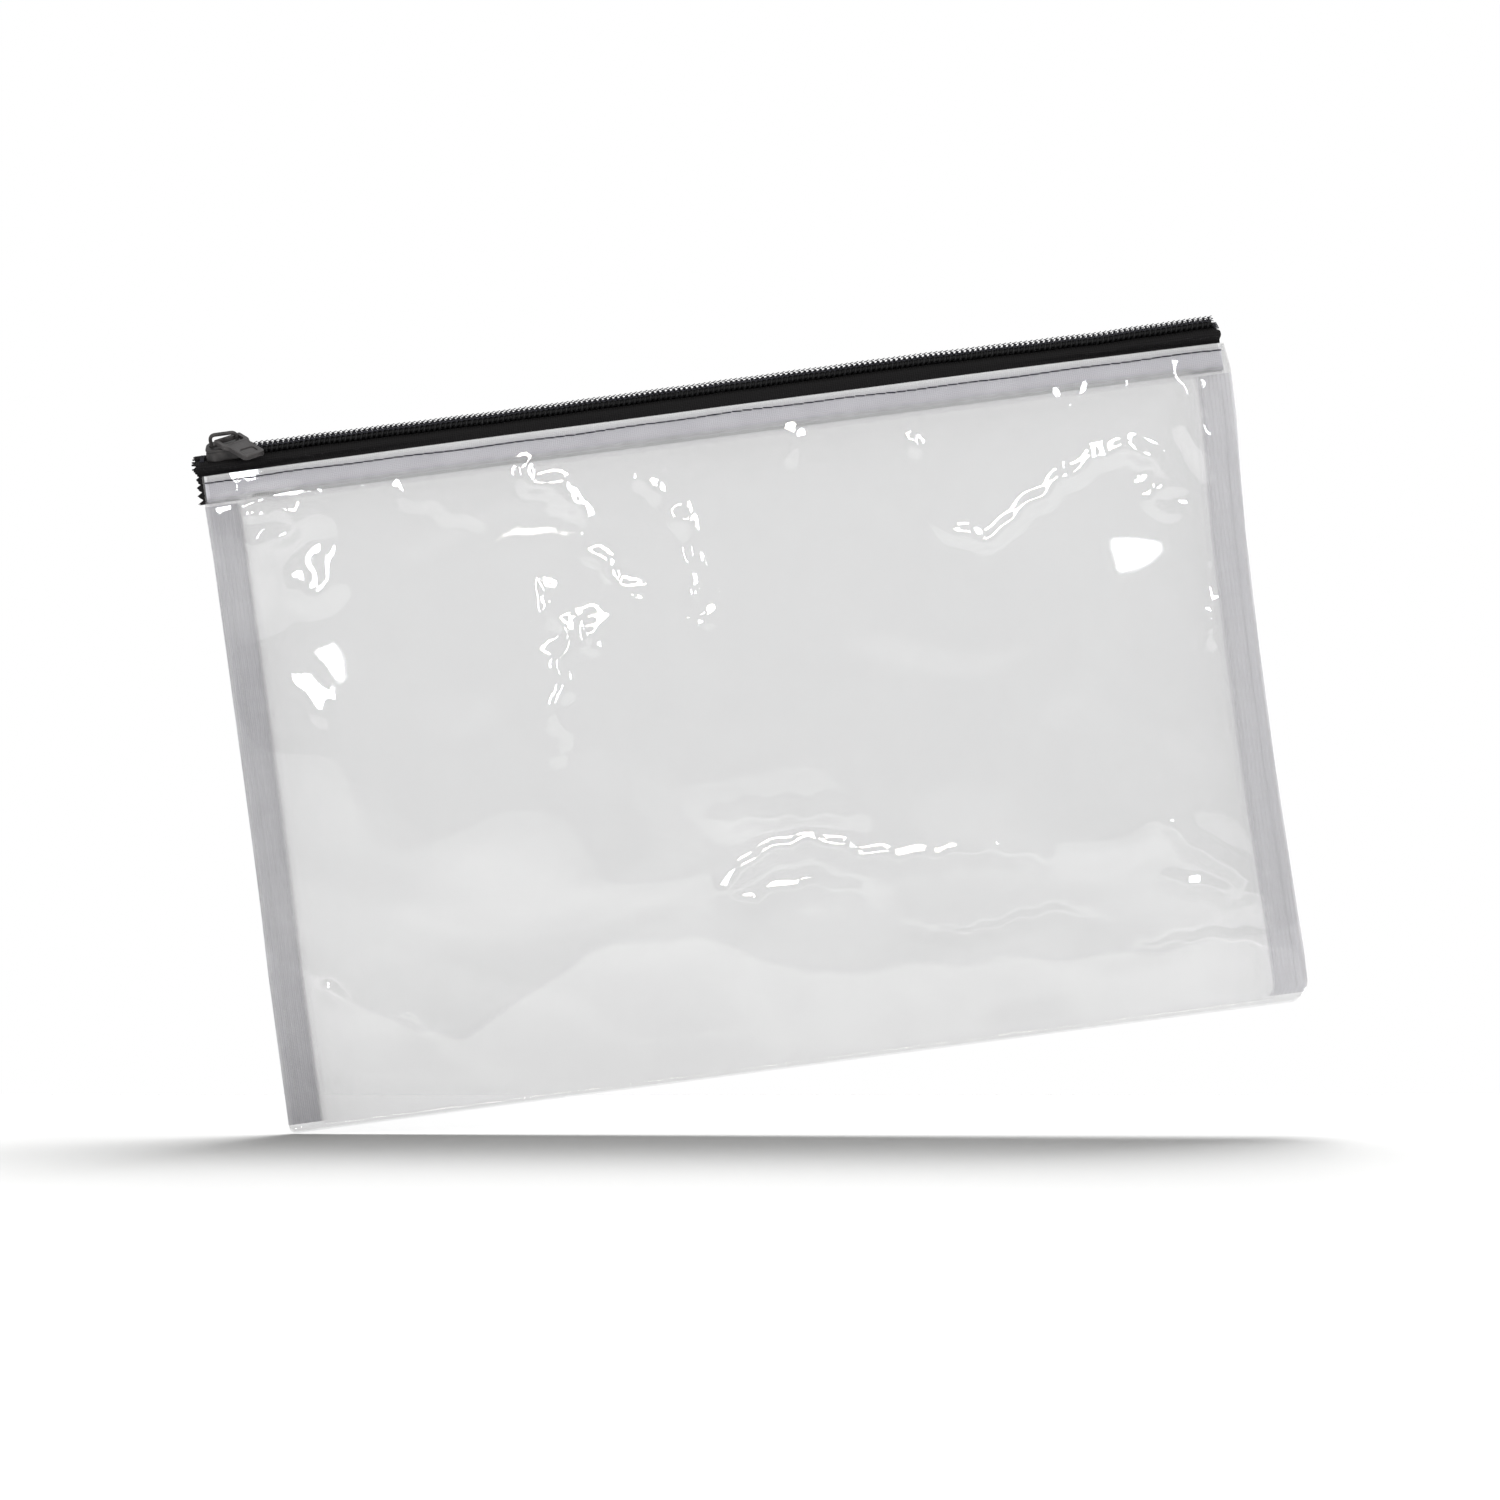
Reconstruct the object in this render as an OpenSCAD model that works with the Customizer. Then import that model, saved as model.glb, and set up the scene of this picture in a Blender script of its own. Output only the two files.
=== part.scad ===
// Cash deposit bag: a clear film pouch, folded at the bottom and sewn up its sides,
// closed along the top by a coil zipper whose chain runs along the upper edge.
// Millimetres. X runs to the right along the zipper, Y to the back, Z up.
// The origin is under the middle of the bag, on the surface that the bottom fold stands on.

/* [Bag] */
// Width over the side seams
bag_w = 304.8; // [200:0.1:400]
// Height from the bottom fold to the top edge of the film
film_h = 197; // [150:1:260]
// Height from the top edge of the film to the top of the zipper chain
zipper_rise = 8; // [7:0.5:12]
// Thickness of the clear film
film_t = 0.45; // [0.3:0.05:0.8]
// Front to back over the side seams and the bottom fold
edge_depth = 3.6; // [3.4:0.1:5]
// Front to back over the side seams at the top edge of the film
top_edge_depth = 6; // [5:0.1:8]
// Front to back in the middle of the bag
middle_depth = 14.5; // [12:0.1:20]
// Front to back in the middle of the top edge
mouth_depth = 12; // [12:0.1:13]

/* [Facings and seams] */
// Height of the woven facing behind the top edge of the film
facing_h = 9.5; // [8:0.5:14]
// Thickness of the woven facing
facing_t = 0.45; // [0.3:0.05:0.6]
// Width of the side seam allowance with its binding
binding_w = 11.5; // [9:0.5:15]
// Length of one stitch
stitch_pitch = 3; // [2.5:0.1:4]
// Thickness of the sewing thread
thread_d = 0.4; // [0.2:0.05:0.6]
// Height of the hem stitch line below the top of the zipper chain
hem_stitch_drop = 10.3; // [10:0.1:12]

/* [Zipper] */
// How far the zipper leans towards the front, in degrees
chain_lean = 22; // [10:1:30]
// Thickness of the zipper tape
tape_t = 0.5; // [0.4:0.05:0.6]
// Depth that the zipper tape reaches below the top edge of the film
tape_tuck = 8; // [6:0.5:10]
// Length of tape that stands out past the left seam
tape_tail = 1.6; // [0:0.1:3]
// Width of one side of the coil
coil_w = 2.9; // [2.4:0.1:3]
// Height of the coil
coil_h = 2.4; // [2:0.1:2.5]

/* [Slider] */
// Length of the slider body
slider_l = 11.4; // [10:0.1:12]
// Distance from the left seam to the middle of the closed slider
slider_inset = 7.9; // [7.8:0.1:10]
// Height of the crown above the slider's upper plate
crown_h = 3.9; // [3.6:0.1:4.2]
// Width of the crown across the chain
crown_t = 1.3; // [1:0.1:1.4]
// How far the pull tab is turned from straight forward towards the chain, in degrees
pull_yaw = 34; // [30:1:40]
// How far the pull tab droops below the slider's upper plate, in degrees
pull_droop = 8.5; // [5:0.5:9]
// Length of the pull tab from its pivot bar to its free end
pull_l = 16; // [14:0.5:20]

/* [Hidden] */
$fn = 40;

half_w = bag_w / 2;
zipper_top = film_h + zipper_rise;
// The back face lies this far behind the origin, which centres the bag with its pull tab
back_y = 9.9;
// Free space left between two layers that lie on each other
layer_gap = 0.05;

// The bottom fold is half a tube
fold_r = edge_depth / 2;
fold_y = back_y - fold_r;
// The front panel starts just above the fold, so that it can swing about it
panel_start_z = fold_r + 0.5;
// Heights between which the front panel swells, flares and draws in again
swell_h = 60;
flare_from_z = 140;
draw_in_from_z = 110;
hem_z = film_h - facing_h - 2;
// How square the swelling is across the width
swell_power = 3.5;

panel_columns = 26;
panel_rows = 16;
hem_rows = 2;

// Seam allowances and their bindings, in front of the back face
flap_t = 1.5;
binding_front = 2.5;
binding_t = 1.75;
binding_leg = 0.35;
binding_lift = 0.6;

// Stitches
stitch_l = stitch_pitch * 0.8;
stitch_sink = thread_d / 2;
hem_stitch_z = zipper_top - hem_stitch_drop;
hem_stitch_count = floor((bag_w - 1) / stitch_pitch);
seam_stitch_inset = 3;
seam_stitch_start = fold_r + 4;

// Chain
chain_y = back_y - 6.55;
coil_r = coil_h / 2;
coil_flat = coil_w - coil_h;
coil_mid_y = coil_w / 2 + 0.05;
// The rearmost round of the chain is the highest point of the zipper
chain_z = zipper_top - coil_r - (coil_mid_y + coil_flat / 2) * sin(chain_lean);
core_d = 1;
coil_bore = 1.3;
// The tape's middle line below the chain, and where its inner edge and its first bend are
tape_z = -coil_r - layer_gap - tape_t / 2;
tape_inner = 1.3;
back_tape_y = back_y - film_t - facing_t - 0.2 - tape_t / 2;
front_tape_depth = mouth_depth - film_t - facing_t - 2 * layer_gap - tape_t / 2;
front_tape_y = back_y - front_tape_depth;
tape_bottom_z = film_h - tape_tuck;
back_bend_r = 0.7;
front_bend_r = 1.2;

// Slider, in the chain's own frame
slider_x = slider_inset - half_w;
coil_start_x = slider_x - 1.1;
coil_end_x = half_w - 2.1;
tape_end_x = half_w - 0.4;
plate_t = 0.9;
upper_z = coil_r + 0.35;
lower_z = tape_z - tape_t / 2 - 0.3;
channel_half = 3.3;
flange_w = 1;
flange_bottom_z = tape_z + tape_t / 2 + 0.15;
post_x = -3.5;
post_half = 1.1;
crown_l = 9;
crown_bar = 1.2;
crown_top_bar = 1;
crown_foot = 0.4;

// Pull tab, from its pivot bar
pivot_x = 1.15;
pivot_z = upper_z + plate_t + 1.7;
pivot_r = 0.5;
pull_head_half = 4.5;
pull_side_bar = 1.2;
pull_end_half = 3.6;
pull_t = 1.4;
eye_l = 4.2;
pull_chamfer = 1.4;
recess_depth = 0.35;

film_colour = [0.86, 0.87, 0.88, 0.35];
facing_colour = [0.76, 0.75, 0.8];
black = [0.06, 0.06, 0.07];
charcoal = [0.17, 0.16, 0.17];

function ease(t) = let (c = min(1, max(0, t))) c * c * (3 - 2 * c);
function mix(a, b, t) = a + (b - a) * t;

// Front to back at the side seams, which stand wider apart towards the mouth
function seam_depth(z) =
    mix(edge_depth, top_edge_depth, ease((z - flare_from_z) / (hem_z - flare_from_z)));

// What the middle of the bag swells by beyond its seams
function swell(z) =
    let (rise = 1 - pow(1 - min(1, max(0, z - panel_start_z) / swell_h), 2))
    let (in_middle = middle_depth - edge_depth, at_mouth = mouth_depth - top_edge_depth)
    rise * mix(in_middle, at_mouth, ease((z - draw_in_from_z) / (hem_z - draw_in_from_z)));

function depth_at(x, z) =
    seam_depth(z) + swell(z) * (1 - pow(min(1, abs(x) / half_w), swell_power));
function front_y(x, z) = back_y - depth_at(x, z);

// A point of the chain's frame, across and above the chain, as a point in Y and Z
function chain_point(across, above) =
    [chain_y + across * cos(chain_lean) - above * sin(chain_lean),
     chain_z + across * sin(chain_lean) + above * cos(chain_lean)];

// A path in Y and Z, moved sideways by d
function shifted(path, d) = [for (i = [0 : len(path) - 1])
    let (a = path[max(0, i - 1)], b = path[min(len(path) - 1, i + 1)])
    let (along = (b - a) / norm(b - a))
    path[i] + d * [-along[1], along[0]]];

function bend(centre, r, from, to, steps) = [for (i = [0 : steps])
    let (angle = mix(from, to, i / steps)) centre + r * [cos(angle), sin(angle)]];

// Middle line of the back tape: out of the slider, over the bend and straight down
function back_tape_path() =
    let (lean = [cos(chain_lean), sin(chain_lean)], start = chain_point(tape_inner, tape_z))
    let (run = (back_tape_y - back_bend_r * (1 + lean[1]) - start[0]) / lean[0])
    let (centre = start + run * lean + back_bend_r * [lean[1], -lean[0]])
    concat([start], bend(centre, back_bend_r, 90 + chain_lean, 0, 5),
           [[back_tape_y, tape_bottom_z]]);

// Middle line of the front tape at one place along the zipper. Towards the ends it
// draws back to the hem, which is narrower there.
function front_tape_path(x) =
    let (lean = [cos(chain_lean), sin(chain_lean)], start = chain_point(-tape_inner, tape_z))
    let (run = (start[0] - front_tape_y - front_bend_r * (1 - lean[1])) / lean[0])
    let (centre = start - run * lean + front_bend_r * [lean[1], -lean[0]])
    let (hem_y = front_y(x, film_h) + mouth_depth - front_tape_depth)
    concat([start], bend(centre, front_bend_r, 90 + chain_lean, 180, 3),
           [[mix(front_tape_y, hem_y, 0.9), film_h + 1.2], [hem_y, film_h + 0.2],
            [hem_y, tape_bottom_z]]);

// Middle of one stitch of the hem
function stitch_x(i) = (i - (hem_stitch_count - 1) / 2) * stitch_pitch;

// Places along X: even steps between two ends
function steps_along(from, to, count) = [for (i = [0 : count]) mix(from, to, i / count)];

// A thin wall between two nets of points. Each net is a list of columns of equal length.
module wall(outside, inside) {
    columns = len(outside);
    rows = len(outside[0]);
    inner_start = columns * rows;
    points = concat([for (c = outside, p = c) p], [for (c = inside, p = c) p]);
    faces = concat(
        [for (i = [0 : columns - 2], j = [0 : rows - 2])
            let (a = i * rows + j, b = a + rows)
            each [[a, a + 1, b + 1], [a, b + 1, b]]],
        [for (i = [0 : columns - 2], j = [0 : rows - 2])
            let (a = inner_start + i * rows + j, b = a + rows)
            each [[a, b + 1, a + 1], [a, b, b + 1]]],
        [for (i = [0 : columns - 2], j = [0, rows - 1])
            let (a = i * rows + j, b = a + rows, low = j == 0)
            each low ? [[a, b, b + inner_start], [a, b + inner_start, a + inner_start]]
                     : [[a, b + inner_start, b], [a, a + inner_start, b + inner_start]]],
        [for (i = [0, columns - 1], j = [0 : rows - 2])
            let (a = i * rows + j, b = a + 1, left = i == 0)
            each left ? [[a, b + inner_start, b], [a, a + inner_start, b + inner_start]]
                      : [[a, b, b + inner_start], [a, b + inner_start, a + inner_start]]]);
    polyhedron(points, faces);
}

// A layer of the front wall, between two depths behind its outer face
module front_layer(xs, zs, from, to) {
    wall([for (x = xs) [for (z = zs) [x, front_y(x, z) + from, z]]],
         [for (x = xs) [for (z = zs) [x, front_y(x, z) + to, z]]]);
}

// An outline in Y and Z, drawn out along X
module along_x(from, to) {
    translate([from, 0, 0]) rotate([90, 0, 90]) linear_extrude(to - from) children();
}

// Children stand in the chain's frame
module on_chain() {
    translate([0, chain_y, chain_z]) rotate([chain_lean, 0, 0]) children();
}

module front_panel() {
    xs = steps_along(-half_w, half_w, panel_columns);
    zs = concat(steps_along(panel_start_z, hem_z, panel_rows), [film_h]);
    color(film_colour) front_layer(xs, zs, 0, film_t);
}

// Back wall, bottom fold, and the two seam allowances that turn inside.
// The hem stitches press into the back wall, so they don't stand out from it.
module back_panel() {
    allowance_y = back_y - flap_t;
    color(film_colour) {
        difference() {
            translate([-half_w, back_y - film_t, fold_r]) cube([bag_w, film_t, film_h - fold_r]);
            back_hem_stitch();
        }
        along_x(-half_w, half_w) translate([fold_y, fold_r]) difference() {
            circle(r = fold_r);
            circle(r = fold_r - film_t);
            translate([-edge_depth, 0]) square([2 * edge_depth, edge_depth]);
        }
        for (side = [-1, 1]) {
            edge_x = side < 0 ? -half_w : half_w - film_t;
            flap_w = binding_w - flap_t;
            flap_x = side < 0 ? -half_w : half_w - flap_w;
            translate([edge_x, allowance_y - film_t, fold_r])
                cube([film_t, flap_t, hem_z - fold_r]);
            translate([flap_x, allowance_y - film_t, fold_r])
                cube([flap_w, film_t, hem_z - fold_r]);
        }
    }
}

module front_hem_facing() {
    xs = steps_along(-half_w + 0.2, half_w - 0.2, panel_columns);
    zs = steps_along(film_h - facing_h, film_h, hem_rows);
    from = film_t + layer_gap;
    color(facing_colour) front_layer(xs, zs, from, from + facing_t);
}

module back_hem_facing() {
    color(facing_colour)
        translate([0.2 - half_w, back_y - film_t - layer_gap - facing_t, film_h - facing_h])
        cube([bag_w - 0.4, facing_t, facing_h]);
}

// Woven tape folded round the seam allowance. It opens towards the side of the bag.
module seam_binding(side) {
    front = back_y - binding_front;
    bottom = fold_r + binding_lift;
    outer = half_w - binding_lift;
    color(facing_colour)
        translate([0, 0, bottom]) linear_extrude(hem_z - 1 - bottom) mirror([side < 0 ? 1 : 0, 0])
        difference() {
            translate([outer - binding_w, front]) square([binding_w, binding_t]);
            translate([outer - binding_w + binding_leg, front + binding_leg])
                square([binding_w, binding_t - 2 * binding_leg]);
        }
}
module left_seam_binding() { seam_binding(-1); }
module right_seam_binding() { seam_binding(1); }

// Stitches of one side seam, on the face of its binding
module seam_thread(side) {
    count = floor((hem_z - seam_stitch_inset - seam_stitch_start) / stitch_pitch);
    color("white") for (i = [0 : count - 1])
        translate([side * (half_w - seam_stitch_inset) - thread_d / 2,
                   back_y - binding_front - layer_gap - thread_d / 2,
                   seam_stitch_start + i * stitch_pitch])
        cube([thread_d, thread_d / 2, stitch_l]);
}
module left_seam_thread() { seam_thread(-1); }
module right_seam_thread() { seam_thread(1); }

// Stitches of the top hem, which lie on the face of the front film
module front_hem_stitch() {
    z = hem_stitch_z;
    color(black) for (i = [0 : hem_stitch_count - 1]) {
        x = stitch_x(i);
        rise = front_y(x + stitch_l / 2, z) - front_y(x - stitch_l / 2, z);
        translate([x, front_y(x, z), z]) rotate([0, 0, atan(rise / stitch_l)])
            translate([-stitch_l / 2, -thread_d / 2 - layer_gap, -thread_d / 2])
            cube([stitch_l, thread_d / 2, thread_d]);
    }
}

module back_hem_stitch() {
    color(black) for (i = [0 : hem_stitch_count - 1])
        translate([stitch_x(i) - stitch_l / 2, back_y - stitch_sink, hem_stitch_z - thread_d / 2])
        cube([stitch_l, stitch_sink, thread_d]);
}

module front_zipper_tape() {
    xs = concat([-half_w - tape_tail], steps_along(0.2 - half_w, tape_end_x, panel_columns));
    paths = [for (x = xs) front_tape_path(x)];
    function net(d) = [for (i = [0 : len(xs) - 1])
        [for (p = shifted(paths[i], d)) [xs[i], p[0], p[1]]]];
    color(black) wall(net(tape_t / 2), net(-tape_t / 2));
}

module back_zipper_tape() {
    path = back_tape_path();
    color(black) along_x(-half_w - tape_tail, tape_end_x)
        polygon(concat(shifted(path, tape_t / 2),
                       [for (i = [len(path) - 1 : -1 : 0]) shifted(path, -tape_t / 2)[i]]));
}

// One side of the chain: the hollow body of the coil
module coil(side) {
    color(black) on_chain() along_x(coil_start_x, coil_end_x)
        translate([side * coil_mid_y, 0]) difference() {
            union() {
                square([coil_flat, coil_h], center = true);
                for (end = [-1, 1])
                    translate([end * coil_flat / 2, 0]) circle(r = coil_r);
            }
            circle(d = coil_bore);
        }
}
module front_coil() { coil(-1); }
module back_coil() { coil(1); }

// The cord that the coil is wound round
module coil_core(side) {
    color(black) on_chain() along_x(coil_start_x, coil_end_x)
        translate([side * coil_mid_y, 0]) circle(d = core_d);
}
module front_coil_core() { coil_core(-1); }
module back_coil_core() { coil_core(1); }

// The two rows of thread that sew the coil to its tape
module coil_thread(side) {
    row_w = 0.35;
    row_t = 0.16;
    color(black) on_chain() for (row = [-0.5, 0.5])
        translate([coil_start_x, side * coil_mid_y + row - row_w / 2, coil_r + 0.02])
        cube([coil_end_x - coil_start_x, row_w, row_t]);
}
module front_coil_thread() { coil_thread(-1); }
module back_coil_thread() { coil_thread(1); }

// Close stitches across both tapes, which keep the slider on the chain
module end_tack(x) {
    bars = 4;
    pitch = 0.32;
    color(black) on_chain() for (i = [0 : bars - 1])
        translate([x + i * pitch, -3.2, tape_z + tape_t / 2 + layer_gap])
        cube([0.24, 6.4, 0.3]);
}
module left_end_tack() { end_tack(-half_w + 0.2); }
module right_end_tack() { end_tack(half_w - 1.6); }

// Outline of the slider's plates: wide shoulders at the nose, narrower at the tail
module slider_outline(half) {
    nose = slider_l / 2;
    polygon([[-nose, -half + 1.9], [-nose + 1, -half - 0.1], [-nose + 2.6, -half - 0.6],
             [0.6, -half], [nose - 0.5, -half], [nose, -half + 0.5],
             [nose, half - 0.5], [nose - 0.5, half], [0.6, half],
             [-nose + 2.6, half + 0.6], [-nose + 1, half + 0.1], [-nose, half - 1.9]]);
}

module slider_body() {
    upper_half = channel_half + flange_w;
    color(charcoal) on_chain() translate([slider_x, 0, 0]) {
        translate([0, 0, upper_z]) linear_extrude(plate_t) slider_outline(upper_half);
        translate([0, 0, flange_bottom_z]) linear_extrude(upper_z - flange_bottom_z + 0.1)
            difference() {
                slider_outline(upper_half);
                square([2 * slider_l, 2 * channel_half], center = true);
            }
        translate([0, 0, lower_z - plate_t + 0.2]) linear_extrude(plate_t - 0.2)
            slider_outline(channel_half);
        translate([0, 0, lower_z - 0.1]) linear_extrude(upper_z - lower_z + 0.2)
            polygon([[post_x - 1.7, -0.6], [post_x - 0.6, -post_half], [post_x + 0.4, -post_half],
                     [post_x + 1.7, -0.2], [post_x + 1.7, 0.2], [post_x + 0.4, post_half],
                     [post_x - 0.6, post_half], [post_x - 1.7, 0.6]]);
        crown();
    }
}

// The arch that holds the pull tab
module crown() {
    corner = 1.8;
    top = upper_z + plate_t + crown_h;
    translate([0, crown_t / 2, 0]) rotate([90, 0, 0]) linear_extrude(crown_t) difference() {
        union() {
            for (end = [-1, 1])
                translate([end * (crown_l / 2 - corner), top - corner]) circle(r = corner);
            translate([corner - crown_l / 2, top - 2 * corner])
                square([crown_l - 2 * corner, 2 * corner]);
            translate([-crown_l / 2, upper_z + plate_t - 0.1])
                square([crown_l, top - corner - upper_z - plate_t + 0.1]);
        }
        translate([crown_bar - crown_l / 2, upper_z + plate_t + crown_foot])
            square([crown_l - 2 * crown_bar, crown_h - crown_foot - crown_top_bar]);
    }
}

// Flat tab with an eye at its head, a pivot bar across the eye and a recess at its free end
module pull_tab() {
    recess = [[pull_l - 5.4, -2.2], [pull_l - 1.8, -2.2], [pull_l - 1.8, 2.2], [pull_l - 5.4, 2.2]];
    color(charcoal) on_chain() translate([slider_x + pivot_x, 0, pivot_z])
        rotate([0, 0, pull_yaw - 90]) rotate([0, pull_droop, 0]) {
            difference() {
                translate([0, 0, -pull_t / 2]) linear_extrude(pull_t)
                    polygon([[0, -pull_head_half], [eye_l + 0.6, -pull_head_half],
                             [eye_l + 2.4, -pull_end_half], [pull_l - pull_chamfer, -pull_end_half],
                             [pull_l, pull_chamfer - pull_end_half],
                             [pull_l, pull_end_half - pull_chamfer],
                             [pull_l - pull_chamfer, pull_end_half], [eye_l + 2.4, pull_end_half],
                             [eye_l + 0.6, pull_head_half], [0, pull_head_half]]);
                translate([-1, pull_side_bar - pull_head_half, -pull_t])
                    cube([eye_l + 1, 2 * (pull_head_half - pull_side_bar), 2 * pull_t]);
                translate([0, 0, pull_t / 2 - recess_depth]) linear_extrude(pull_t)
                    polygon(recess);
            }
            rotate([90, 0, 0])
                cylinder(r = pivot_r, h = 2 * (pull_head_half - pull_side_bar) + 0.2, center = true);
            for (side = [-1, 1])
                translate([0, side * (pull_head_half - pull_side_bar / 2), 0]) rotate([90, 0, 0])
                cylinder(d = pull_t, h = pull_side_bar, center = true);
        }
}

front_panel();
back_panel();
front_hem_facing();
back_hem_facing();
left_seam_binding();
right_seam_binding();
left_seam_thread();
right_seam_thread();
front_hem_stitch();
back_hem_stitch();
front_zipper_tape();
back_zipper_tape();
front_coil();
back_coil();
front_coil_core();
back_coil_core();
front_coil_thread();
back_coil_thread();
left_end_tack();
right_end_tack();
slider_body();
pull_tab();
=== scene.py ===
"""Visual model of a clear zipped cash deposit bag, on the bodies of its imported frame.

Lengths in the classes below are millimetres in the frame that the solid model uses:
X along the zipper, Y to the back, Z up. Meshes are written in metres.
"""

import logging
import math
from dataclasses import dataclass, field
from enum import Enum

import bmesh
import bpy
import numpy as np
from mathutils import Matrix, Vector


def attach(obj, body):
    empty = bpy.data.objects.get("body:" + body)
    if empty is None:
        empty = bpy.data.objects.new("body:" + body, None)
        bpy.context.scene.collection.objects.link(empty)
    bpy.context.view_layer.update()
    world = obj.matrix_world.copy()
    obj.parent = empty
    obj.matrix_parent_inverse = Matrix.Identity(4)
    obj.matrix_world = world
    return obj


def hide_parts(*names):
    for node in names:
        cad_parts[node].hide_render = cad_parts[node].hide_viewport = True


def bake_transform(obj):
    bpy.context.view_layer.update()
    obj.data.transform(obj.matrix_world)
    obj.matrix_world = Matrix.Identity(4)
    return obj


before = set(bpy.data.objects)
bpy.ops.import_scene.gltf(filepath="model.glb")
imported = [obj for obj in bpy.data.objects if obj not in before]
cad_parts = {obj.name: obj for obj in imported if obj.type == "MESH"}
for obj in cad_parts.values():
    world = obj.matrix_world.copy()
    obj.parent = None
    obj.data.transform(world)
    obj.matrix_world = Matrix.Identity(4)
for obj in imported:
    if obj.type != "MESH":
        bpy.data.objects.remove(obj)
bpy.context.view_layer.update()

LOG = logging.getLogger("bag")
MM = 0.001
SEED = 11


class Body(Enum):
    """The moving bodies of the bag."""

    BACK = "back_wall"
    FRONT = "front_wall"
    SLIDER = "slider"
    PULL = "pull"


class Slot(Enum):
    """Names of the material slots in the record."""

    FILM = "clear_film"
    FACING = "woven_facing"
    CLEAR_THREAD = "clear_thread"
    BLACK_THREAD = "black_thread"
    TAPE = "zipper_tape"
    COIL = "zipper_coil"
    METAL = "slider_metal"


class Side(Enum):
    """Left or right half of the bag, as the sign of X."""

    LEFT = -1
    RIGHT = 1

    @property
    def word(self) -> str:
        """The side's name in a piece's name."""
        return "left" if self is Side.LEFT else "right"


# ---------------------------------------------------------------- node trees


class Tree:
    """Lays out the nodes of one tree."""

    def __init__(self, tree: bpy.types.NodeTree) -> None:
        """Keeps the node tree that nodes are added to."""
        self.tree = tree

    def add(self, kind: str, **settings: object) -> bpy.types.Node:
        """Adds a node.

        Args:
            kind: the node's type name.
            settings: properties to set on it.

        Returns:
            The new node.
        """
        node = self.tree.nodes.new(kind)
        for name, value in settings.items():
            setattr(node, name, value)
        return node

    def fed(self, kind: str, sources: dict[str | int, object], **settings: object) -> bpy.types.Node:
        """Adds a node and feeds its inputs.

        Args:
            kind: the node's type name.
            sources: a socket or plain value for each input.
            settings: properties to set on it.

        Returns:
            The new node.
        """
        node = self.add(kind, **settings)
        for place, source in sources.items():
            self.join(source, node.inputs[place])
        return node

    def join(self, source: object, target: bpy.types.NodeSocket) -> None:
        """Links source to target, or sets target's own value to source.

        Args:
            source: a socket, or a plain value.
            target: the input socket.
        """
        if isinstance(source, bpy.types.NodeSocket):
            self.tree.links.new(source, target)
        elif source is not None:
            target.default_value = source

    def math(self, operation: str, first: object, second: object = None,
             third: object = None, clamp: bool = False) -> bpy.types.NodeSocket:
        """Adds a Math node.

        Args:
            operation: its operation.
            first: socket or number.
            second: socket or number.
            third: socket or number.
            clamp: keeps the result between 0 and 1.

        Returns:
            The result's socket.
        """
        node = self.add("ShaderNodeMath", operation=operation, use_clamp=clamp)
        for socket, value in zip(node.inputs, (first, second, third)):
            self.join(value, socket)
        return node.outputs[0]

    def spread(self, value: object, low: float, high: float, to_low: float,
               to_high: float) -> bpy.types.NodeSocket:
        """Maps value smoothly from one range to another.

        Args:
            value: socket to map.
            low: start of the range that it has.
            high: end of the range that it has.
            to_low: result at low.
            to_high: result at high.

        Returns:
            The result's socket.
        """
        node = self.add("ShaderNodeMapRange", interpolation_type="SMOOTHSTEP")
        for socket, number in zip(node.inputs, (value, low, high, to_low, to_high)):
            self.join(number, socket)
        return node.outputs[0]

    def blend_colours(self, share: object, first: object, second: object) -> bpy.types.NodeSocket:
        """Mixes two colours.

        Args:
            share: socket or number, 0 for the first and 1 for the second.
            first: socket or colour.
            second: socket or colour.

        Returns:
            The colour's socket.
        """
        node = self.add("ShaderNodeMix", data_type="RGBA")
        self.join(share, node.inputs[0])
        self.join(first, node.inputs[6])
        self.join(second, node.inputs[7])
        return node.outputs[2]

    def noise(self, place: object, scale: float, detail: float = 2.0,
              rough: float = 0.5, distort: float = 0.0) -> bpy.types.NodeSocket:
        """Adds a noise texture.

        Args:
            place: socket with the coordinates.
            scale: noise scale.
            detail: octaves.
            rough: roughness of the octaves.
            distort: distortion.

        Returns:
            The noise value's socket.
        """
        node = self.add("ShaderNodeTexNoise")
        self.join(place, node.inputs["Vector"])
        for name, value in (("Scale", scale), ("Detail", detail), ("Roughness", rough),
                            ("Distortion", distort)):
            node.inputs[name].default_value = value
        return node.outputs[0]


def new_group(name: str, kind: str, inputs: dict[str, str],
              outputs: dict[str, str]) -> tuple[Tree, bpy.types.Node, bpy.types.Node]:
    """Makes a node group with named inputs and outputs.

    Args:
        name: the group's name.
        kind: its tree type.
        inputs: socket type of each input.
        outputs: socket type of each output.

    Returns:
        The tree, its input node and its output node.
    """
    group = bpy.data.node_groups.new(name, kind)
    for label, socket in inputs.items():
        group.interface.new_socket(label, in_out="INPUT", socket_type=socket)
    for label, socket in outputs.items():
        group.interface.new_socket(label, in_out="OUTPUT", socket_type=socket)
    tree = Tree(group)
    return tree, tree.add("NodeGroupInput"), tree.add("NodeGroupOutput")


NUMBER, POINT = "NodeSocketFloat", "NodeSocketVector"
WHOLE, SHAPE, FINISH = "NodeSocketInt", "NodeSocketGeometry", "NodeSocketMaterial"


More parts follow.
